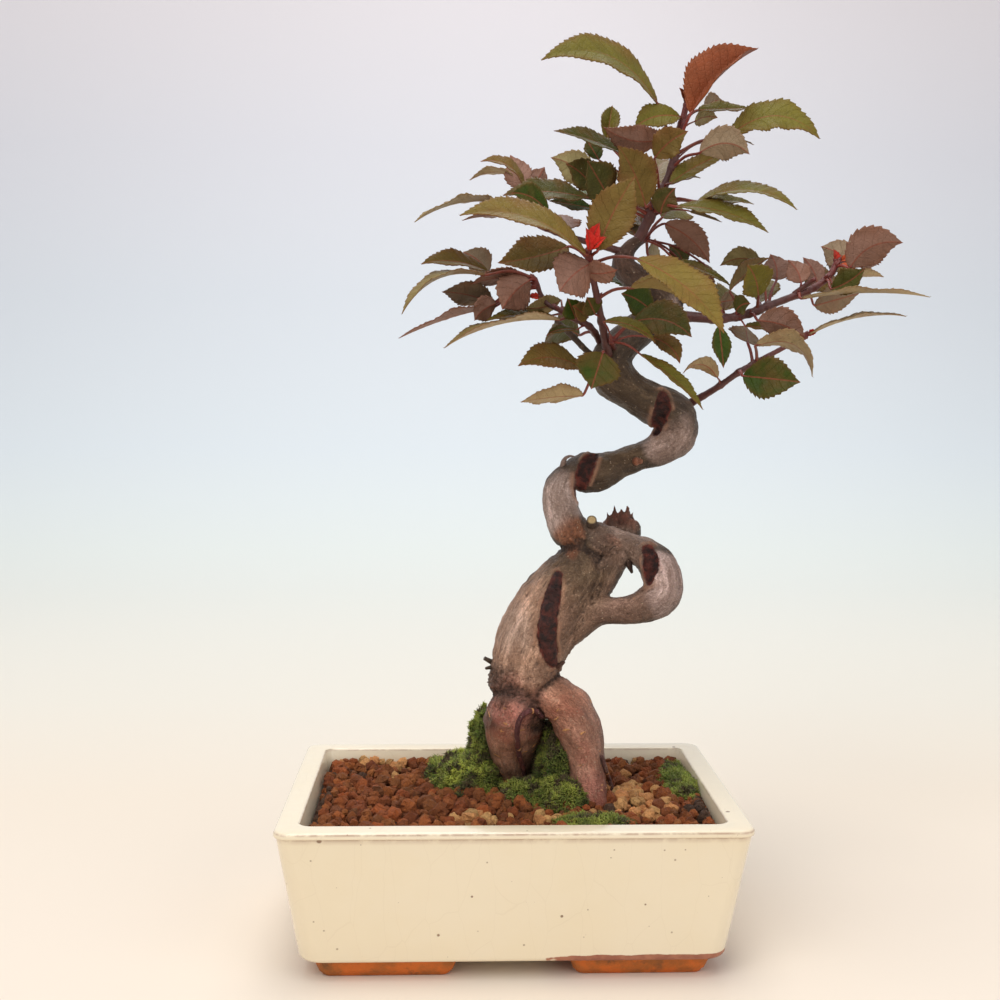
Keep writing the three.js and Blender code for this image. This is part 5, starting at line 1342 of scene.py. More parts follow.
def blade_tints(s, root, out, rng, seed):
    """Colours of the blades' points: deep at the foot, brighter to the tip, in patches, and with
    painted light where the cushion looks up and at the far left; brown in small bare places."""
    bright, deep = np.array(s.bright), np.array(s.deep)
    patch = smooth(-0.35, 0.35, fractal(root * 0.16, 2, seed))
    # Painted light where the cushion looks up, mixed with random patches of brighter moss.
    light_and_patches = smooth(-0.3, 0.9, out[:, 2]) * 0.45 + 0.55 * patch
    level = np.clip(light_and_patches + rng.uniform(-0.18, 0.18, len(root)), 0, 1)
    low = mix(deep[None], bright[None], 0.35 * level[:, None])
    # Painted light: the tips are brighter still at the far left.
    sunlit = 1.1 + 0.75 * smooth(-7, -19, root[:, 0])
    high = mix(deep[None], bright[None] * sunlit[:, None], level[:, None])
    bare = smooth(0.08, 0.3, fractal(root * 0.22, 2, seed + 50))[:, None]
    low, high = (mix(tone, np.array([(0.085, 0.050, 0.022)]), bare) for tone in (low, high))
    return np.stack([low] * 3 + [mix(low, high, 0.6)] * 3 + [high], 1)


def build_moss(s, node, seed):
    """Moss: lumpy cushions on the soil, covered with short curved blades that stand out."""
    samples, radii = wood_samples()
    rng = np.random.default_rng(seed)
    pile = Pile()
    around, up = TAU * np.arange(40) / 40, np.radians(np.linspace(-86, 86, 22))
    for cushion in MOSS[node]:
        points, _ = cushion_shape(cushion, *np.meshgrid(around, up))
        ends = rows([(0, 0, -1), (0, 0, 1)]) * cushion[5] + cushion[:3]
        points = np.vstack([points, ends])
        points[:, 2] = np.maximum(points[:, 2], soil_height(*points.T[:2]) - 2.2)
        pile.add(points, grid_faces(len(around), len(up), poles=True),
                 tint=mix(np.array(s.deep), np.array(s.bright), 0.12))
        root, out = blade_places(s, node, cushion, rng, samples, radii)
        points = blade_shapes(s, root, out, rng)
        tint = blade_tints(s, root, out, rng, seed)
        pile.add(points.reshape(-1, 3), repeat_faces(BLADE_FACES, 7, len(root)),
                 tint=tint.reshape(-1, 3))
    moss = pile.object(node + "_tufts", [moss_material(s)])
    return settle(moss, "moss", node)


# ---------------------------------------------------------------- wood

def laid_on_wood(line, radius, samples, radii, share):
    """The line moved along the sight until it meets the wood: at each point the first depth,
    from the front, where its gap to the wood is under the given share of its radius."""
    depths = np.arange(-30, 22, 0.4)
    way = (line - EYE) / np.abs(EYE[1])
    spots = line[:, None] + way[:, None] * depths[None, :, None]
    gap = nearest(spots.reshape(-1, 3), samples, radii)[0].reshape(len(line), -1)
    close = gap < share * radius[:, None]
    back = np.where(close.any(1), depths[close.argmax(1)], 0.0)
    for _ in range(3):
        back[1:-1] = (back[:-2] + back[1:-1] + back[2:]) / 3
    return line + way * back[:, None]


def corner_rows(mesh):
    """The mesh's faces as rows of four corners, a triangle's last one -1."""
    starts = np.empty(len(mesh.polygons), np.int32)
    sizes = np.empty(len(mesh.polygons), np.int32)
    corners = np.empty(len(mesh.loops), np.int32)
    mesh.polygons.foreach_get("loop_start", starts)
    mesh.polygons.foreach_get("loop_total", sizes)
    mesh.loops.foreach_get("vertex_index", corners)
    faces = corners[np.minimum(starts[:, None] + np.arange(4), len(corners) - 1)]
    return np.where(np.arange(4) < sizes[:, None], faces, -1)


def grown_skin(s, paths):
    """One skin of even small faces over all the thick wood, as points, faces and edges."""
    pile = Pile()
    for line, radius, _ in paths.values():
        pile.add(*tube(line, radius, 44, flute=0.05))
    for foot in seen(SPLINTERS):
        line = foot + rows([(0, 0, z) for z in (-4.5, -1.5, 1.5, 4.0)])
        pile.add(*tube(line, np.array([2.2, 1.5, 0.9, 0.4]), 9))
    draft = pile.object("draft", [])
    skin = draft.modifiers.new("Skin", "REMESH")
    skin.mode, skin.voxel_size = "VOXEL", s.voxel
    mesh = bake_modifiers(draft)
    flat = np.empty(len(mesh.vertices) * 3, np.float32)
    mesh.vertices.foreach_get("co", flat)
    edges = np.empty(len(mesh.edges) * 2, np.int32)
    mesh.edges.foreach_get("vertices", edges)
    faces = corner_rows(mesh)
    bpy.data.objects.remove(draft)
    return (flat.reshape(-1, 3).astype(float) - POT_CENTRE) / MM, faces, edges.reshape(-1, 2)


def face_normals(points, faces):
    """Normal of each point: the sum of its faces' normals, by the cross of their diagonals."""
    last = np.where(faces[:, 3] < 0, faces[:, 0], faces[:, 3])
    cross = np.cross(points[faces[:, 2]] - points[faces[:, 0]], points[last] - points[faces[:, 1]])
    total = np.zeros_like(points)
    for corner in (faces[:, 0], faces[:, 1], faces[:, 2], last):
        total += np.stack([np.bincount(corner, cross[:, k], len(points)) for k in range(3)], 1)
    return unit(total)


# Limbs that press on each other without growing together: their seam stays a crease.
CREASED = {("left_root", "torso"), ("left_root", "right_root"), ("right_root", "torso"),
           ("left_root", "crotch"), ("right_root", "crotch"), ("crotch", "torso"),
           ("stump", "loop"), ("torso", "upper")}


def pressed_wounds(points, moved, samples, radii):
    """The moved points with the wounds pressed in: inside the radius of a wound's path they go
    out to that radius. Also how much each is scar, rim of callus and deep in a wound."""
    scar, callus, deep = (np.zeros(len(points)) for _ in range(3))
    rugged = 1 + 0.26 * fractal(points * (0.7, 0.7, 0.35), 3, 60)
    for share, wound in WOUNDS:
        core, reach, _ = path_of([(x, z, 0, r) for x, z, r in wound], 0.5)
        core = laid_on_wood(core, reach, samples, radii, share)
        gap = np.full((len(points), len(core)), 99.0)
        close = np.linalg.norm(moved - core[len(core) // 2], axis=1) < 26
        gap[close] = np.linalg.norm(moved[close][:, None] - core[None], axis=2) - reach
        at = gap.argmin(1)
        depth = gap[np.arange(len(points)), at]
        pressed = core[at] + unit(moved - core[at]) * (reach[at] * rugged)[:, None]
        inside = depth < 0
        deep = np.where(inside, np.clip(-depth / reach[at], 0, 1), deep)
        moved = np.where(inside[:, None], pressed, moved)
        scar = np.maximum(scar, smooth(0.35, -0.15, depth))
        callus = np.maximum(callus, np.exp(-((depth - 0.85) / 0.75) ** 2))
    callus = callus * (1 - scar) * smooth(-0.35, 0.25, fractal(points * 0.16, 2, 44))
    return moved, scar, callus, deep


def bark_tint(s, points, normal):
    """Colour of the bark: the mean of the base tone and of the patches near the point, weighed by
    closeness, times painted light and shade: lighter where it looks up and to the left, darker
    where it looks away."""
    weight, tint = np.full((len(points), 1), 0.22), np.array(s.bark) * 0.22
    drift = points + 4 * np.stack([noise(points * 0.12, k) for k in (90, 91, 92)], 1)
    for across, height, back, reach, tone in BARK_TONES:
        gap = np.linalg.norm(drift - seen([(across, height, back)]), axis=1)
        share = smooth(1.5 * reach, 0.35 * reach, gap)[:, None]
        weight, tint = weight + share, tint + share * np.array(tone)
    # Painted light and shade: the bark is lighter where its normal faces up and to the left,
    # towards the key lamp, and darker where it faces away.
    painted_light_share = smooth(-0.85, 0.8, normal @ unit(np.array([-0.55, -0.3, 0.78])))
    return tint / weight * mix(0.55, 1.22, painted_light_share)[:, None]


def add_thin_wood(pile, s, samples, radii):
    """Thin roots, stubs, splinters and flakes: tubes, the roots laid on the wood behind them."""
    sides = 14
    for name, stations in THIN_WOOD.items():
        core, reach, _ = path_of(stations, 0.5)
        is_root = name.endswith("root")
        if is_root:
            core = laid_on_wood(core, reach, samples, radii, 0.5)
        reach = reach * (1 + 0.14 * noise(core * 0.7, 3))
        points, faces = tube(core, reach, sides, (True, "stub" not in name))
        ring = np.r_[np.repeat(np.arange(len(core) + 2), sides), 0, len(core) + 1]
        tone = (0.16, 0.048, 0.048) if is_root else np.array(s.bark) * 1.2
        is_cut = (ring > len(core)) & (name == "cut_stub")
        path = np.column_stack([ring * 0.5, points[:, 0], points[:, 1]]) * MM
        pile.add(points, faces, tint=THIN_TONES.get(name, tone), path=path, scar=0.0, deep=0.0,
                 callus=0.0, root=float(is_root), hollow=0.0, cut=is_cut)


def neighbour_mean(edges, count):
    """Function that gives the mean of each point's neighbours, taken several times."""
    a, b = edges.T
    ends, starts = np.r_[a, b], np.r_[b, a]
    valence = np.maximum(np.bincount(ends, minlength=count), 1)

    def averaged(values, times=1):
        values = values.reshape(count, -1)
        for _ in range(times):
            sums = [np.bincount(ends, part[starts], count) for part in values.T]
            values = np.stack(sums, 1) / valence[:, None]
        return values[:, 0] if values.shape[1] == 1 else values
    return averaged


def limb_seams(points, paths):
    """How close the limb that is second nearest comes to each point, how much the point lies in
    a crease between two limbs, and how much in a fork to be filleted."""
    names = list(paths)
    gaps = np.stack([nearest(points, *paths[n][:2])[0] for n in names], 1)
    order = np.argsort(gaps, 1)[:, :2]
    second = np.take_along_axis(gaps, order[:, 1:], 1)[:, 0]
    creased = np.zeros(len(points), bool)
    for one, two in CREASED:
        i, j = names.index(one), names.index(two)
        creased |= (order == (i, j)).all(1) | (order == (j, i)).all(1)
    seam = np.exp(-(np.maximum(second, 0) / 1.1) ** 2) * creased
    fork = smooth(3.4, 0.5, second) * np.where(creased, 0.12, 1.0)
    return second, seam, fork


def bark_relief(points, path, size, is_root, second, seam):
    """How far the bark stands out: lumps, furrows along the limb, wrinkles near the forks and
    the flaky crust, less the creases."""
    lumps = 0.55 * fractal(points * 0.11, 2, 5) + 0.28 * noise(points * 0.3, 9)
    furrow = fractal(path * (0.13, 0.75, 0.75), 3, 13)
    fine = fractal(path * (0.5, 1.6, 1.6), 2, 31)
    wrinkles = smooth(7, 0.5, second) * np.abs(fractal(points * (0.35, 0.35, 0.9), 3, 77))
    crust = np.zeros(len(points))
    for across, height, back, reach in CRUSTS:
        apart = np.linalg.norm(points - seen([(across, height, back)]), axis=1)
        crust = np.maximum(crust, smooth(1.1 * reach, 0.5 * reach, apart))
    shift = size * (lumps + mix(1.0, 0.5, is_root) * (0.34 * furrow + 0.17 * fine)
                    + 0.8 * wrinkles)
    return shift + 1.7 * crust * np.abs(fractal(points * (0.6, 0.6, 1.2), 3, 40)) - 0.9 * seam


def build_trunk(s):
    """Trunk: tubes through the stations grown into one skin, with filleted forks, creases where
    limbs press together, furrows along the wood, wounds pressed in, a torn stump, and thin
    roots and stubs on it."""
    paths = {name: path_of(stations, 0.8) for name, stations in WOOD.items()}
    points, faces, edges = grown_skin(s, paths)
    averaged = neighbour_mean(edges, len(points))
    limbs = list(paths.values())
    line, radius, arc = (np.concatenate([limb[k] for limb in limbs]) for k in range(3))
    owner = np.concatenate([np.full(len(limb[0]), k) for k, limb in enumerate(limbs)])
    side, other = (np.concatenate([frames(limb[0])[k] for limb in limbs]) for k in (1, 2))
    for _ in range(3):
        points = mix(points, averaged(points), 0.5)
    second, seam, fork = limb_seams(points, paths)
    _, index = nearest(points, line, radius)
    for _ in range(28):
        points = mix(points, averaged(points), 0.6 * fork[:, None])

    # Coordinates along and round the limb, the bark's relief, and the wounds.
    rel = points - line[index]
    path = np.column_stack([arc[index] + 60 * owner[index], (rel * side[index]).sum(1),
                            (rel * other[index]).sum(1)])
    normal = face_normals(points, faces)
    size = np.clip(radius[index] / 9, 0.25, 1)
    is_root = averaged(smooth(96, 86, points[:, 2]) * (owner[index] < 2), 4)
    shift = bark_relief(points, path, size, is_root, second, seam)
    samples, radii = wood_samples()
    moved, scar, callus, deep = pressed_wounds(points, points + normal * shift[:, None],
                                               samples, radii)
    moved = moved + normal * (0.75 * callus)[:, None]

    # Torn stump: its top is drawn up into uneven teeth.
    torn = smooth(10.5, 6, np.linalg.norm((moved - seen([STUMP_TOP])) * (1, 1, 0.8), axis=1))
    torn = torn * smooth(148, 153, points[:, 2])
    moved[:, 2] += torn * 1.7 * noise(points * (0.45, 0.45, 0.05), 71)
    moved = mix(moved, averaged(moved), 0.3 * (1 - torn)[:, None])
    # Painted shade: how much each point lies in a concave hollow or a crease between limbs, where
    # the bark is darkened.
    bend = ((averaged(moved, 5) - moved) * face_normals(moved, faces)).sum(1)
    hollow = np.clip(0.75 * smooth(0.03, 0.28, bend) + 0.6 * seam, 0, 0.85)

    pile = Pile()
    pile.add(moved, faces, tint=bark_tint(s, points, normal), path=path * MM,
             scar=np.maximum(scar, torn * 0.35), deep=deep, callus=callus, root=is_root,
             hollow=hollow * (1 - scar), cut=0.0)
    add_thin_wood(pile, s, samples, radii)
    return settle(pile.object("trunk_wood", [bark_material(s)]), "bark", "trunk")


# ---------------------------------------------------------------- leaves and shoots

# Colours of a leaf's upper side and underside, scene-linear.
TINTS = {
    "olive": ((0.145, 0.120, 0.016), (0.34, 0.26, 0.10)),
    "yolive": ((0.190, 0.130, 0.024), (0.36, 0.26, 0.10)),
    "brown": ((0.155, 0.100, 0.024), (0.33, 0.195, 0.095)),
    "mauve": ((0.165, 0.074, 0.045), (0.27, 0.145, 0.105)),
    "dark": ((0.070, 0.066, 0.013), (0.16, 0.115, 0.045)),
    "copper": ((0.22, 0.054, 0.018), (0.25, 0.072, 0.034)),
    "green": ((0.040, 0.066, 0.005), (0.20, 0.20, 0.05)),
    "grey": ((0.135, 0.108, 0.055), (0.26, 0.185, 0.115)),
    "pale": ((0.225, 0.198, 0.058), (0.35, 0.29, 0.13)),
    "beige": ((0.27, 0.20, 0.075), (0.43, 0.32, 0.17)),
    "red": ((0.70, 0.030, 0.022), (0.62, 0.045, 0.035)),
    "orange": ((0.66, 0.12, 0.045), (0.58, 0.12, 0.06)),
}


# Places of the rings along a tooth, and of the columns from a blade's rib to its margin.
TOOTH_RINGS = (0.0, 0.36, 0.68, 0.94)
BLADE_COLUMNS = (0.07, 0.18, 0.42, 0.68, 0.9, 1)
# Blade: how high and how wide the rib below and the groove above it are, and how many side veins
# a millimetre has, how far those of the right half are moved on and how much they lean forward.
RIB_HEIGHT, RIB_WIDTH, GROOVE_DEPTH, GROOVE_WIDTH = 0.36, 0.45, 0.16, 0.6
VEIN_RATE, VEIN_SHIFT, VEIN_LEAN = 0.30, 1.6, 0.19


def leaf_course(base, tip, rise, turn):
    """Course of a leaf's rib as a function of t: a straight line bowed up by 4 t (1 - t), with
    the direction ahead, the blade's normal, and the direction across it."""
    chord = tip - base
    along = unit(chord)
    front = unit(np.array([0, -1, 0]) + along * along[1])
    level = np.cross(front, along)
    level = level * (-1 if level[2] < 0 else 1)
    hand = 1 if np.cross(along, level)[1] <= 0 else -1
    angle = np.radians(turn)

    def at(t):
        t = np.asarray(t, float)[:, None]
        spot = base + chord * t + level * rise * 4 * t * (1 - t)
        ahead = unit(chord + level * rise * 4 * (1 - 2 * t))
        flat = unit(level - ahead * (ahead @ level)[:, None])
        facing = hand * np.cross(ahead, flat)
        normal = np.cos(angle) * flat + np.sin(angle) * facing
        return spot, ahead, normal, np.cross(ahead, normal)
    return at


def leaf_width(t):
    """Half width's share at t: sin(pi t^0.9) to the power 0.85 + 0.35 t."""
    return np.sin(np.pi * np.clip(t, 0, 1) ** 0.9) ** (0.85 + 0.35 * t)


def leaf_relief(t, v, half, reach, along, long, rng):
    """How far a blade's surface leaves its folded plane: the wave of its margins, the puckers
    between its side veins, and the curl of its tip."""
    waves = rng.uniform(1.6, 3.2)
    start = rng.uniform(0, TAU, 2)[(v > 0).astype(int)]
    wave = np.sin(TAU * waves * t[:, None] + start) * np.abs(v) ** 1.7
    wave = wave * rng.uniform(0.035, 0.085) * half[:, None]
    vein = np.cos(TAU * (VEIN_RATE * along - VEIN_LEAN * np.abs(reach)))
    pucker = -0.13 * vein * np.minimum(np.abs(v) * 2.2, 1) * np.minimum(half[:, None] / 6, 1)
    curl = -rng.uniform(0.0, 0.5) * np.maximum(t - 0.8, 0)[:, None] ** 2 * long
    return wave, pucker, curl


def both_faces(values):
    """Values across a blade's upper face and then back across its underside."""
    return np.concatenate([values, values[:, ::-1]], 1)


def add_leaf(pile, s, leaf, root, rng):
    """Leaf: rings across a thin blade, from its upper face round to its underside, carried along
    the rib; the margin is a saw of teeth that point forward, and it waves."""
    tint, base, tip, width, rise, turn, fold, _ = leaf
    base, tip = seen([base, tip])
    long = np.linalg.norm(tip - base)
    course = leaf_course(base, tip, rise, turn)
    teeth = max(4, round(long / (s.tooth / MM)))
    t = ((np.arange(teeth)[:, None] + TOOTH_RINGS) / teeth).ravel()[1:]
    saw = np.tile(TOOTH_RINGS, teeth)[1:] ** 1.2
    spot, ahead, normal, side = course(t)
    v = np.array(BLADE_COLUMNS)
    v = np.r_[-v[::-1], v]  # -1 and 1 at the margins
    half = width / 2 * leaf_width(t)
    tooth = (s.depth / MM) * np.clip(width / 14, 0.45, 1.2) * saw * np.sin(np.pi * t) ** 0.4
    reach = v * half[:, None] * 0.97 + np.sign(v) * np.abs(v) ** 8 * tooth[:, None]
    along = t[:, None] * long + VEIN_SHIFT * (v > 0)
    angle = np.radians(fold) * (1.12 - 0.24 * np.abs(v))
    wave, pucker, curl = leaf_relief(t, v, half, reach, along, long, rng)
    lift = np.abs(reach) * np.sin(angle) + wave + pucker + curl
    middle = (spot[:, None] + side[:, None] * (reach * np.cos(angle))[..., None]
              + normal[:, None] * lift[..., None])

    # The two faces, with the rib below and the groove above it.
    thin = s.blade / MM / 2
    rib = RIB_HEIGHT * np.exp(-(reach / RIB_WIDTH) ** 2) * (1 - 0.8 * t[:, None])
    groove = GROOVE_DEPTH * np.exp(-(reach / GROOVE_WIDTH) ** 2)
    upper = middle + normal[:, None] * (thin - groove)[..., None]
    lower = middle - normal[:, None] * (thin + rib)[..., None]
    rings = np.concatenate([upper, lower[:, ::-1]], 1)
    ends = course(np.array([0.0, 1.0]))[0]
    points = np.vstack([rings.reshape(-1, 3), ends[0], ends[1] + ahead[-1] * 0.4])

    # Colours of the two faces, the place along and across the blade, and its worn margin.
    top, under = (np.array(c) * rng.uniform(0.84, 1.18) for c in TINTS[tint])
    tone = np.tile(np.repeat([top, under], len(v), 0), (len(t), 1))
    path = both_faces(np.stack([along, reach, 0 * reach], -1)).reshape(-1, 3)
    worn = np.where(v > 0, *rng.uniform(0.3, 1, 2))
    edge = both_faces(np.maximum(np.abs(v) ** 7, smooth(0.93, 1, t)[:, None]) * worn).ravel()
    pile.add(points, grid_faces(rings.shape[1], len(t), poles=True), edge=np.r_[edge, 0, 1],
             tint=np.vstack([tone, top, top]), path=np.vstack([path, (0, 0, 0), (long, 0, 0)]))

    into, _, normal, _ = course(np.array([0.05]))
    red = mix(np.array(s.stalk) * rng.uniform(0.75, 1.2), top, 0.12)
    add_stalk(pile, root, base, into[0] - normal[0] * 0.2, width, red)


def add_stalk(pile, root, base, into, width, tint):
    """Stalk: a tube from the stem through a bend to the blade's base and a little into it."""
    apart = np.linalg.norm(root - base)
    bend = (root + base) / 2 + (0, 0, 0.1 * apart)
    stops = rows([root, bend, base, into])
    line = spline(stops, np.linspace(0, 1, max(8, int(apart * 0.9))))
    stalk = np.interp(np.linspace(0, 1, len(line)), (0, 0.1, 0.6, 1), (0.85, 0.58, 0.5, 0.3))
    stalk = stalk * np.clip(width / 12, 0.6, 1.05)
    pile.add(*tube(line, stalk, 7), kind=1, tint=tint, path=(0, 0, 0), edge=0.0)


def add_bud(pile, root, way, size, tint):
    """Bud: a pointed egg, radius sin(pi t^0.75), along its own way."""
    t = np.linspace(0, 1, 9)
    line = root + way * (t * size)[:, None]
    radius = 0.34 * size * np.maximum(np.sin(np.pi * t ** 0.75), 0.08)
    pile.add(*tube(line, radius, 8), kind=1, tint=tint, path=(0, 0, 0), edge=0.0)


def build_shoot(s, node, seed):
    """Leafy shoot: its stems, swollen where stalks start, with stalks, buds and leaves."""
    rng = np.random.default_rng(seed)
    pile = Pile()
    stems = [path_of(stations, STEM_STEP) for stations in STEMS[node]]
    spots = np.concatenate([line for line, _, _ in stems])
    twig = np.array(s.twig)
    starts = spots[[leaf[-1] for leaf in LEAVES[node]]]
    for line, radius, _ in stems:
        gap = np.linalg.norm(line[:, None] - starts[None], axis=2).min(1)
        swell = 1 + 0.28 * np.exp(-(gap / 1.1) ** 2) + 0.08 * noise(line * 0.9, seed)
        share = np.r_[np.repeat(np.linspace(0, 1, len(line) + 2), STEM_SIDES), 0, 1]
        tone = mix(twig, np.array(s.stalk) * 0.75, smooth(0.55, 1.1, share)[:, None])
        pile.add(*tube(line, radius * swell, STEM_SIDES), kind=1, tint=tone, path=(0, 0, 0),
                 edge=0.0)
    for leaf, start in zip(LEAVES[node], starts):
        add_leaf(pile, s, leaf, start, rng)
        way = unit(unit(seen([leaf[1]])[0] - start) + (0, 0, 0.9))
        add_bud(pile, start, way, rng.uniform(1.9, 2.9), mix(twig, np.array(s.stalk), 0.5))
    shoot = pile.object(node + "_leaves", [leaf_material(), twig_material()])
    return settle(shoot, "foliage", node)


# ---------------------------------------------------------------- stage

# Bands of the sheet's colour: (place from the floor up, 0 to 1, colour). The floor's comes first.
# The bands are painted light: the changes of tone that light and shade give the plain sheet from
# the floor up.
BACKDROP = [
    (0.06, (0.795, 0.705, 0.596)), (0.14, (0.785, 0.742, 0.656)), (0.31, (0.795, 0.80, 0.742)),
    (0.40, (0.785, 0.82, 0.784)), (0.47, (0.771, 0.816, 0.813)), (0.54, (0.751, 0.80, 0.827)),
    (0.72, (0.74, 0.77, 0.812)), (0.86, (0.783, 0.775, 0.82)), (0.97, (0.865, 0.815, 0.845)),
]
BACKDROP_REACH = 2.4
SKY_TINT, PALE_TINT = (0.93, 0.96, 1.0, 1), (0.76, 0.74, 0.73, 1)
# Lamps: (name, place in metres, size, share of the key light's power, colour).
LAMPS = [
    ("key", (-0.75, -1.0, 1.25), 1.1, 1, (1.0, 0.98, 0.95)),
    ("fill", (1.0, -0.9, 0.75), 1.2, 0.45, (1.0, 0.99, 0.97)),
    ("back", (0.1, 1.0, 1.35), 0.9, 0.5, (0.96, 0.98, 1.0)),
    ("top", (-0.1, -0.2, 1.5), 0.8, 0.75, (1.0, 0.99, 0.98)),
]
LAMP_AIM = (0, 0, 0.14)
PITCH, YAW, ROLL = 4.79, 2.24, 0.47
LENS, SENSOR = 43.884, 36.0


def paper_material(s):
    """Studio paper: matt, its colour in bands by the way along the sheet, y plus z, painted light
    that stands for how the light falls on it.
    """
    tree, feed = new_material("studio_paper")
    at = place(tree)
    sheet = math(tree, "ADD", part_of(tree, at, 1), part_of(tree, at, 2))
    bands = add_node(tree, "ShaderNodeValToRGB", {0: math(tree, "DIVIDE", sheet, BACKDROP_REACH)})
    stops = bands.color_ramp.elements
    for i, (spot, value) in enumerate([(0.0, tuple(s.floor))] + BACKDROP):
        stop = stops[i] if i < 2 else stops.new(spot)
        stop.position, stop.color = spot, (*value, 1)
    return feed(Base_Color=bands.outputs[0], Roughness=0.9, Specular_IOR_Level=0.1)


def build_sheet(s):
    """Floor that curves up into a backdrop behind the object, one sheet, in metres."""
    turn = np.linspace(0, np.pi / 2, 24)
    depth = np.r_[-2.2, np.linspace(-1.6, 0.5, 8), 0.75 + 0.75 * np.sin(turn), np.full(6, 1.5)]
    height = np.r_[np.zeros(9), 0.75 - 0.75 * np.cos(turn), np.linspace(0.9, 2.6, 6)]
    across = np.linspace(-2.6, 2.6, 12)
    points = np.stack(np.broadcast_arrays(across, depth[:, None], height[:, None]), -1)
    pile = Pile()
    pile.add((points.reshape(-1, 3) - POT_CENTRE * (1, 1, 0)) / MM,
             grid_faces(len(across), len(depth), closed=False))
    floor = pile.object("studio_floor", [paper_material(s)])


def build_sky(s):
    """Even light from all sides, shown to the viewer as a plain pale tone."""
    world = bpy.data.worlds.new("studio_world")
    bpy.context.scene.world = world
    world.use_nodes = True
    tree = world.node_tree
    sky = tree.nodes["Background"]
    sky.inputs[0].default_value, sky.inputs[1].default_value = SKY_TINT, s.world
    pale = add_node(tree, "ShaderNodeBackground", {0: PALE_TINT})
    ray = add_node(tree, "ShaderNodeLightPath").outputs["Is Camera Ray"]
    either = add_node(tree, "ShaderNodeMixShader")
    for socket, given in zip(either.inputs, (ray, sky.outputs[0], pale.outputs[0])):
        tree.links.new(given, socket)
    tree.links.new(either.outputs[0], tree.nodes["World Output"].inputs[0])


def stand(name, data, axes, spot):
    """Object in the scene by its own three axes and its place in metres."""
    turned = np.eye(4)
    turned[:3, :3] = np.stack(axes, 1)
    turned[:3, 3] = spot
    item = bpy.data.objects.new(name, data)
    item.matrix_world = Matrix(turned.tolist())
    bpy.context.scene.collection.objects.link(item)
    return item


def build_lamps(s):
    """Round area lamps that look at the tree's lower part."""
    for name, spot, size, share, tint in LAMPS:
        light = bpy.data.lights.new(name, "AREA")
        light.shape, light.size, light.energy, light.color = "DISK", size, s.key * share, tint
        away = unit(np.array(spot) - np.array(LAMP_AIM))
        right = unit(np.cross((0, 0, 1), away))
        stand(name, light, (right, np.cross(away, right), away), spot)


def build_camera():
    """Camera at the eye of the tables: turned to the right by the yaw, down by the pitch."""
    pitch, yaw, roll = np.radians([PITCH, YAW, ROLL])
    ahead = np.array([np.sin(yaw) * np.cos(pitch), np.cos(yaw) * np.cos(pitch), -np.sin(pitch)])
    level = np.array([np.cos(yaw), -np.sin(yaw), 0])
    rise = np.cross(level, ahead)
    right = np.cos(roll) * level + np.sin(roll) * rise
    up = np.cos(roll) * rise - np.sin(roll) * level
    lens = bpy.data.cameras.new("viewpoint")
    lens.lens, lens.sensor_width, lens.sensor_fit = LENS, SENSOR, "HORIZONTAL"
    lens.clip_start, lens.clip_end = 0.01, 20
    scene = bpy.context.scene
    scene.camera = stand("viewpoint", lens, (right, up, -ahead), POT_CENTRE + EYE * MM)
    scene.view_settings.view_transform = "Standard"


# ---------------------------------------------------------------- add-on

class BONSAI_OT_pot(bpy.types.Operator):
    """Add the glazed pot with its clay feet and drain screens"""
    bl_idname = "bonsai.pot"
    bl_label = "Pot"

    def execute(self, context):
        settings = context.scene.bonsai.pot
        build_pot(settings)
        build_feet(settings)
        plastic = screen_material()
        for node in ("drain_screen_left", "drain_screen_right"):
            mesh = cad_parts[node].data
            mesh.materials.clear()
            mesh.materials.append(plastic)
        return {"FINISHED"}


class BONSAI_OT_soil(bpy.types.Operator):
    """Add the bed of soil with its loose grains"""
    bl_idname = "bonsai.soil"
    bl_label = "Soil"

    def execute(self, context):
        build_soil(context.scene.bonsai.soil)
        return {"FINISHED"}


class BONSAI_OT_moss(bpy.types.Operator):
    """Add the moss cushions"""
    bl_idname = "bonsai.moss"
    bl_label = "Moss"

    def execute(self, context):
        for seed, node in enumerate(MOSS):
            build_moss(context.scene.bonsai.moss, node, seed + 50)
        return {"FINISHED"}


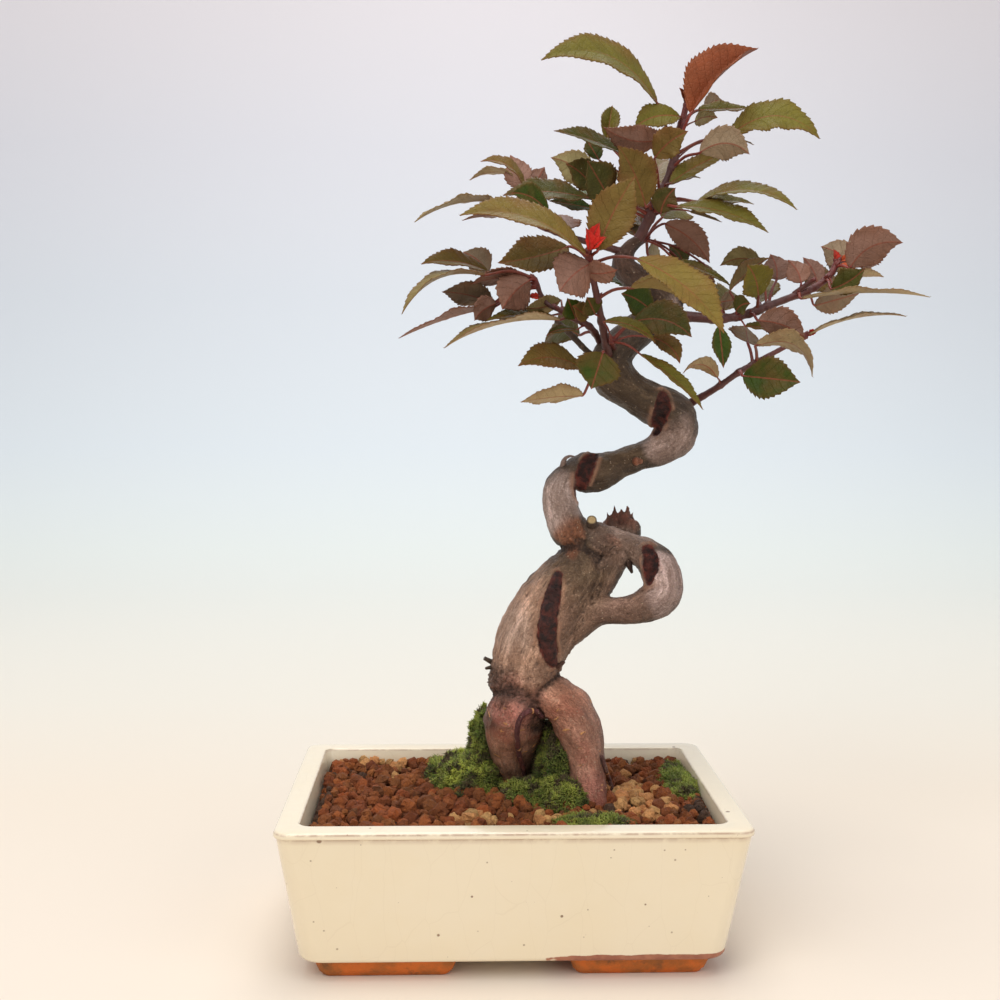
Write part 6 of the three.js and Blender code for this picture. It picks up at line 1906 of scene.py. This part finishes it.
class BONSAI_OT_trunk(bpy.types.Operator):
    """Add the roots and the looped trunk"""
    bl_idname = "bonsai.trunk"
    bl_label = "Trunk"

    def execute(self, context):
        build_trunk(context.scene.bonsai.bark)
        return {"FINISHED"}


class BONSAI_OT_shoots(bpy.types.Operator):
    """Add the leafy shoots"""
    bl_idname = "bonsai.shoots"
    bl_label = "Leafy shoots"

    def execute(self, context):
        for seed, node in enumerate(STEMS):
            build_shoot(context.scene.bonsai.leaf, node, seed + 100)
        return {"FINISHED"}


class BONSAI_OT_stage(bpy.types.Operator):
    """Add the floor with its backdrop, the studio light and the camera"""
    bl_idname = "bonsai.stage"
    bl_label = "Stage"

    def execute(self, context):
        settings = context.scene.bonsai.stage
        build_sheet(settings)
        build_sky(settings)
        build_lamps(settings)
        build_camera()
        return {"FINISHED"}


OPERATORS = (BONSAI_OT_stage, BONSAI_OT_pot, BONSAI_OT_soil, BONSAI_OT_moss, BONSAI_OT_trunk,
             BONSAI_OT_shoots)


class BONSAI_PT_panel(bpy.types.Panel):
    """Apple bonsai"""
    bl_idname = "BONSAI_PT_panel"
    bl_label = "Apple bonsai"
    bl_space_type = "VIEW_3D"
    bl_region_type = "UI"
    bl_category = "Bonsai"

    def draw(self, context):
        for operator in OPERATORS:
            self.layout.operator(operator.bl_idname)
        settings = context.scene.bonsai
        for name in settings.__annotations__:
            box = self.layout.box()
            box.label(text=name.capitalize())
            part = getattr(settings, name)
            for item in part.__annotations__:
                box.prop(part, item)


CLASSES = (PotSettings, SoilSettings, MossSettings, BarkSettings, LeafSettings, StageSettings,
           BonsaiSettings, *OPERATORS, BONSAI_PT_panel)


def register():
    """Registers the classes and hangs the settings on the scene."""
    for cls in CLASSES:
        bpy.utils.register_class(cls)
    bpy.types.Scene.bonsai = PointerProperty(type=BonsaiSettings)


def unregister():
    """Takes back what register did."""
    del bpy.types.Scene.bonsai
    for cls in reversed(CLASSES):
        bpy.utils.unregister_class(cls)


def main():
    register()
    for step in ("stage", "pot", "soil", "moss", "trunk", "shoots"):
        getattr(bpy.ops.bonsai, step)()
    bpy.context.view_layer.update()


if __name__ == "__main__":
    main()
